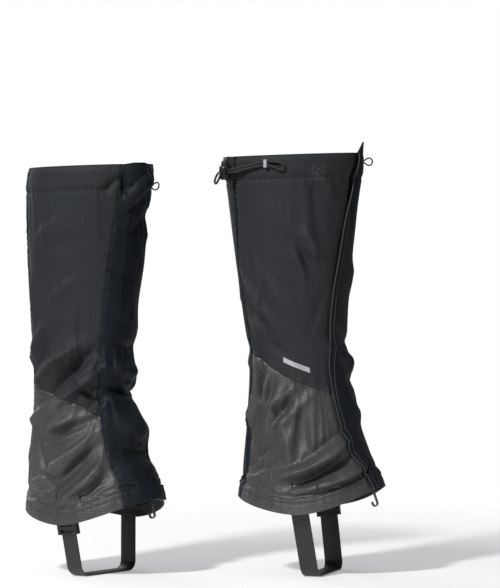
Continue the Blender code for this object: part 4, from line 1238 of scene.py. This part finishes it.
def strap(side):
    """The moulded strap: rounded edges, a raised rim each side and shallow ribs on its outer face."""
    line = strap_line(SIDES[side]["drop"])
    run = run_along(line)
    at = np.linspace(0, run[-1], int(run[-1] / STRAP_STEP))
    across, height = read_along(at, run, line).T
    slope = unit(np.stack([np.gradient(across), np.gradient(height)], axis=-1))
    start, lean = STRAP_FORWARD[side]
    forward = start + lean * (height.max() - height) / height.max()
    half, thin = STRAP_WIDTH / 2, STRAP_THICKNESS / 2
    section = [(-half, 0), (-half + RIM_SLOPE, EDGE_SHARE * thin), (-half + RIM_FLAT, thin),
               (-RIB_HALF_WIDTH - RIM_INSIDE, thin)]
    ribbed = np.linspace(-RIB_HALF_WIDTH, RIB_HALF_WIDTH, 7)
    count = len(section)
    section += [(x, thin - RIB_DEPTH) for x in ribbed] + [(-x, y) for x, y in reversed(section)]
    section += [(half - RIM_SLOPE, -EDGE_SHARE * thin), (half - RIM_FLAT, -thin),
                (-half + RIM_FLAT, -thin), (-half + RIM_SLOPE, -EDGE_SHARE * thin)]
    x, out = np.array(section).T
    x = np.broadcast_to(x, (len(at), len(section)))
    out = np.broadcast_to(out, x.shape).copy()
    wave = np.sin((at[:, None] + np.abs(x) * 0.8) * 2 * math.pi / RIB_PITCH)
    inside = slice(count, count + len(ribbed))
    out[:, inside] += RIB_DEPTH * ramp(0.5 + 1.6 * wave[:, inside])
    points = np.stack([forward[:, None] + x,
                       SIDES[side]["inner"] * (across[:, None] + slope[:, 1:] * out),
                       height[:, None] - slope[:, :1] * out], axis=-1)
    points = to_world(side, points)
    name = side + "_underfoot_strap_moulding"
    mesh = closed_mesh(name, points, tube_faces(len(at), len(section), (False, False)))
    mesh.set_sharp_from_angle(angle=math.radians(STRAP_SHARP))
    made = add(name, mesh, "strap_rubber")
    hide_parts(side + "_underfoot_strap")
    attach(made, side + "_strap_body")


# ---------------------------------------------------------------- the cord lock
LOCK_SPOT = (136, 0.4315, 0.0105)                 # angle, height and standoff, as in the CAD
LOCK_HOLE = (0.0025, 0.0034)                      # half the width and half the height of its hole
BUTTON_TRAVEL = 0.0024
SPRING_LOW, SPRING_HIGH, SPRING_RADIUS, SPRING_WIRE, SPRING_TURNS = -0.0074, -0.0044, 0.0029, 0.0005, 2.5
LATHE_SIDES, LATHE_MERGE, LATHE_SHARP = 40, 0.00001, 35       # the last in degrees
HOLE_REACH = 0.02
BARREL = [(0, -0.0090), (0.0030, -0.0090), (0.0044, -0.0086), (0.0055, -0.0077), (0.0061, -0.0064),
          (0.0064, -0.0045), (0.0064, -0.0036), (0.0061, -0.0033), (0.0061, -0.0030), (0.0064, -0.0027),
          (0.0064, 0.0018), (0.0061, 0.0021), (0.0061, 0.0024), (0.0064, 0.0027), (0.0063, 0.0042),
          (0.0058, 0.0056), (0.0052, 0.0061), (0.0048, 0.0062), (0.0045, 0.0060), (0.0045, -0.0074),
          (0, -0.0074)]
BUTTON = [(0, -0.0044), (0.0039, -0.0044), (0.0041, -0.0041), (0.0041, 0.0086), (0.0040, 0.0097),
          (0.0036, 0.0107), (0.0029, 0.0114), (0.0020, 0.0118), (0.0010, 0.0120), (0, 0.0121)]


def turned(name, profile, axes, finish, hole_rise):
    """A part turned about its axes' upright from (radius, height) points, with the cord's hole cut."""
    turn = np.arange(LATHE_SIDES) * 2 * math.pi / LATHE_SIDES
    rings = np.array([[(radius * math.cos(a), radius * math.sin(a), height) for a in turn]
                      for radius, height in profile])
    shell = bmesh.new()
    verts = [[shell.verts.new(spot) for spot in ring] for ring in rings]
    for one, two in zip(verts, verts[1:]):
        for k in range(LATHE_SIDES):
            m = (k + 1) % LATHE_SIDES
            shell.faces.new((one[k], one[m], two[m], two[k]))
    bmesh.ops.remove_doubles(shell, verts=shell.verts, dist=LATHE_MERGE)
    bmesh.ops.recalc_face_normals(shell, faces=shell.faces)
    mesh = bpy.data.meshes.new(name)
    shell.to_mesh(mesh)
    shell.free()
    made = add(name, mesh, finish)
    width, height = LOCK_HOLE
    corners = [(x, y, z) for x in (-HOLE_REACH, HOLE_REACH) for y in (-width, width)
               for z in (-height, height + hole_rise)]
    box = bmesh.new()
    bmesh.ops.convex_hull(box, input=[box.verts.new(corner) for corner in corners])
    cutter_mesh = bpy.data.meshes.new(name + "_hole")
    box.to_mesh(cutter_mesh)
    box.free()
    cutter = add(name + "_hole", cutter_mesh)
    cut = made.modifiers.new("hole", "BOOLEAN")
    cut.operation, cut.object = "DIFFERENCE", cutter
    cut = bpy.data.meshes.new_from_object(made.evaluated_get(bpy.context.evaluated_depsgraph_get()))
    made.modifiers.clear()
    made.data = cut
    bpy.data.objects.remove(cutter)
    cut.transform(axes)
    if axes.determinant() < 0:
        cut.flip_normals()
    cut.shade_smooth()
    cut.set_sharp_from_angle(angle=math.radians(LATHE_SHARP))
    return made


def cord_lock(side):
    """The lock's barrel, its domed button and the spring that the button presses down."""
    origin, round_leg, out = fitting_axes(side, *LOCK_SPOT)
    axes = Matrix((round_leg, out, (0, 0, 1))).transposed().to_4x4()
    axes.translation = origin
    barrel = turned(side + "_cord_lock_shell", BARREL, axes, "black_plastic", 0.0)
    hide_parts(side + "_cord_lock_barrel")
    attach(barrel, side + "_gaiter")
    button = turned(side + "_cord_lock_plunger", BUTTON, axes, "black_plastic", BUTTON_TRAVEL)
    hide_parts(side + "_cord_lock_button")
    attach(button, side + "_button_body")
    share = np.linspace(0, 1, 110)
    turn = share * 2 * math.pi * SPRING_TURNS
    low, high = SPRING_LOW + 0.6 * SPRING_WIRE, SPRING_HIGH - 0.7 * SPRING_WIRE
    outward = np.cos(turn)[:, None] * round_leg + np.sin(turn)[:, None] * out
    path = (origin + SPRING_RADIUS * outward
            + (low + (high - low) * share)[:, None] * np.array((0.0, 0.0, 1.0)))
    spring = strip_along(side + "_cord_lock_coil", path, outward, SPRING_WIRE / 2, SPRING_WIRE / 2,
                         "spring_steel")
    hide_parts(side + "_cord_lock_spring")
    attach(spring, side + "_gaiter")
    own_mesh(spring)


def carried_over():
    """Give the CAD nodes that stay their finished materials."""
    finish_of = {part["node"]: part["material_slot"] for part in frame["record"]["subparts"]}
    for node in frame["nodes"]:
        shown = bpy.data.objects[node]
        shown.data.materials.clear()
        shown.data.materials.append(FINISH[finish_of[node]])


# ---------------------------------------------------------------- the stage
FLOOR_HALF, FLOOR_DROP, FLOOR_GLOW = 3.2, 0.0002, 0.24
FLOOR_FADE = (0.30, 0.85)      # distances from the middle over which the floor fades out
SOFT_LIGHT, BACKDROP = 0.26, 1.0
LIGHT_AIM = (-0.1, -0.05, 0.25)
# name: azimuth in degrees, height and distance in metres, size, power, colour
LIGHTS = {
    "key": (-10, 1.8, 1.9, 0.22, 46, (1.0, 0.99, 0.98)),
    "fill": (60, 0.8, 2.4, 1.0, 2, (0.97, 0.98, 1.0)),
    "rim": (-118, 0.8, 1.6, 0.9, 7, (0.90, 0.95, 1.0)),
}


def stage():
    """The pale floor, the studio world and the lights."""
    ground = foot_to_world("left").translation.z
    mesh = bpy.data.meshes.new("floor")
    corners = [(x * FLOOR_HALF, y * FLOOR_HALF, 0) for x, y in ((-1, -1), (1, -1), (1, 1), (-1, 1))]
    mesh.from_pydata(corners, [], [(0, 1, 2, 3)])
    floor = add("floor", mesh)
    floor.location = (0, 0, ground - FLOOR_DROP)
    n = Nodes("floor")
    n.set("Base Color", (0.93, 0.93, 0.925, 1))
    n.set("Roughness", 0.9)
    n.set("Emission Color", (1, 1, 1, 1))
    n.set("Emission Strength", FLOOR_GLOW)
    length = n.add("ShaderNodeVectorMath", operation="LENGTH")
    n.link(n.place(), length.inputs[0])
    n.feed("Alpha", n.spread(length.outputs["Value"], *FLOOR_FADE, 1.0, 0.0))
    mesh.materials.append(n.material)
    world = bpy.data.worlds.new("studio")
    world.use_nodes = True
    tree = world.node_tree
    seen = tree.nodes.new("ShaderNodeLightPath")
    choose = tree.nodes.new("ShaderNodeMixShader")
    tree.links.new(seen.outputs["Is Camera Ray"], choose.inputs[0])
    backdrop = tree.nodes.new("ShaderNodeBackground")
    for slot, (light, strength) in enumerate(((tree.nodes["Background"], SOFT_LIGHT), (backdrop, BACKDROP))):
        light.inputs["Color"].default_value = (1, 1, 1, 1)
        light.inputs["Strength"].default_value = strength
        tree.links.new(light.outputs[0], choose.inputs[slot + 1])
    tree.links.new(choose.outputs[0], tree.nodes["World Output"].inputs["Surface"])
    bpy.context.scene.world = world
    for name, (azimuth, height, distance, size, power, colour) in LIGHTS.items():
        data = bpy.data.lights.new(name, "AREA")
        data.size, data.energy, data.color = size, power, colour
        lamp = add(name, data)
        turn = math.radians(azimuth)
        lamp.location = (distance * math.sin(turn), -distance * math.cos(turn), ground + height)
        aim = Vector((*LIGHT_AIM[:2], ground + LIGHT_AIM[2])) - lamp.location
        lamp.rotation_euler = aim.to_track_quat("-Z", "Y").to_euler()
    bpy.context.scene.view_settings.view_transform = "Standard"


camera()
FINISH = finishes()
carried_over()
TUBES = {side: simulate(side) for side in SIDES}
for gaiter in SIDES:
    cords(gaiter)
    strap(gaiter)
    cord_lock(gaiter)
    panels(gaiter)
    flap(gaiter)
    bands(gaiter)
    hems_and_edges(gaiter)
    stitching(gaiter)
stage()
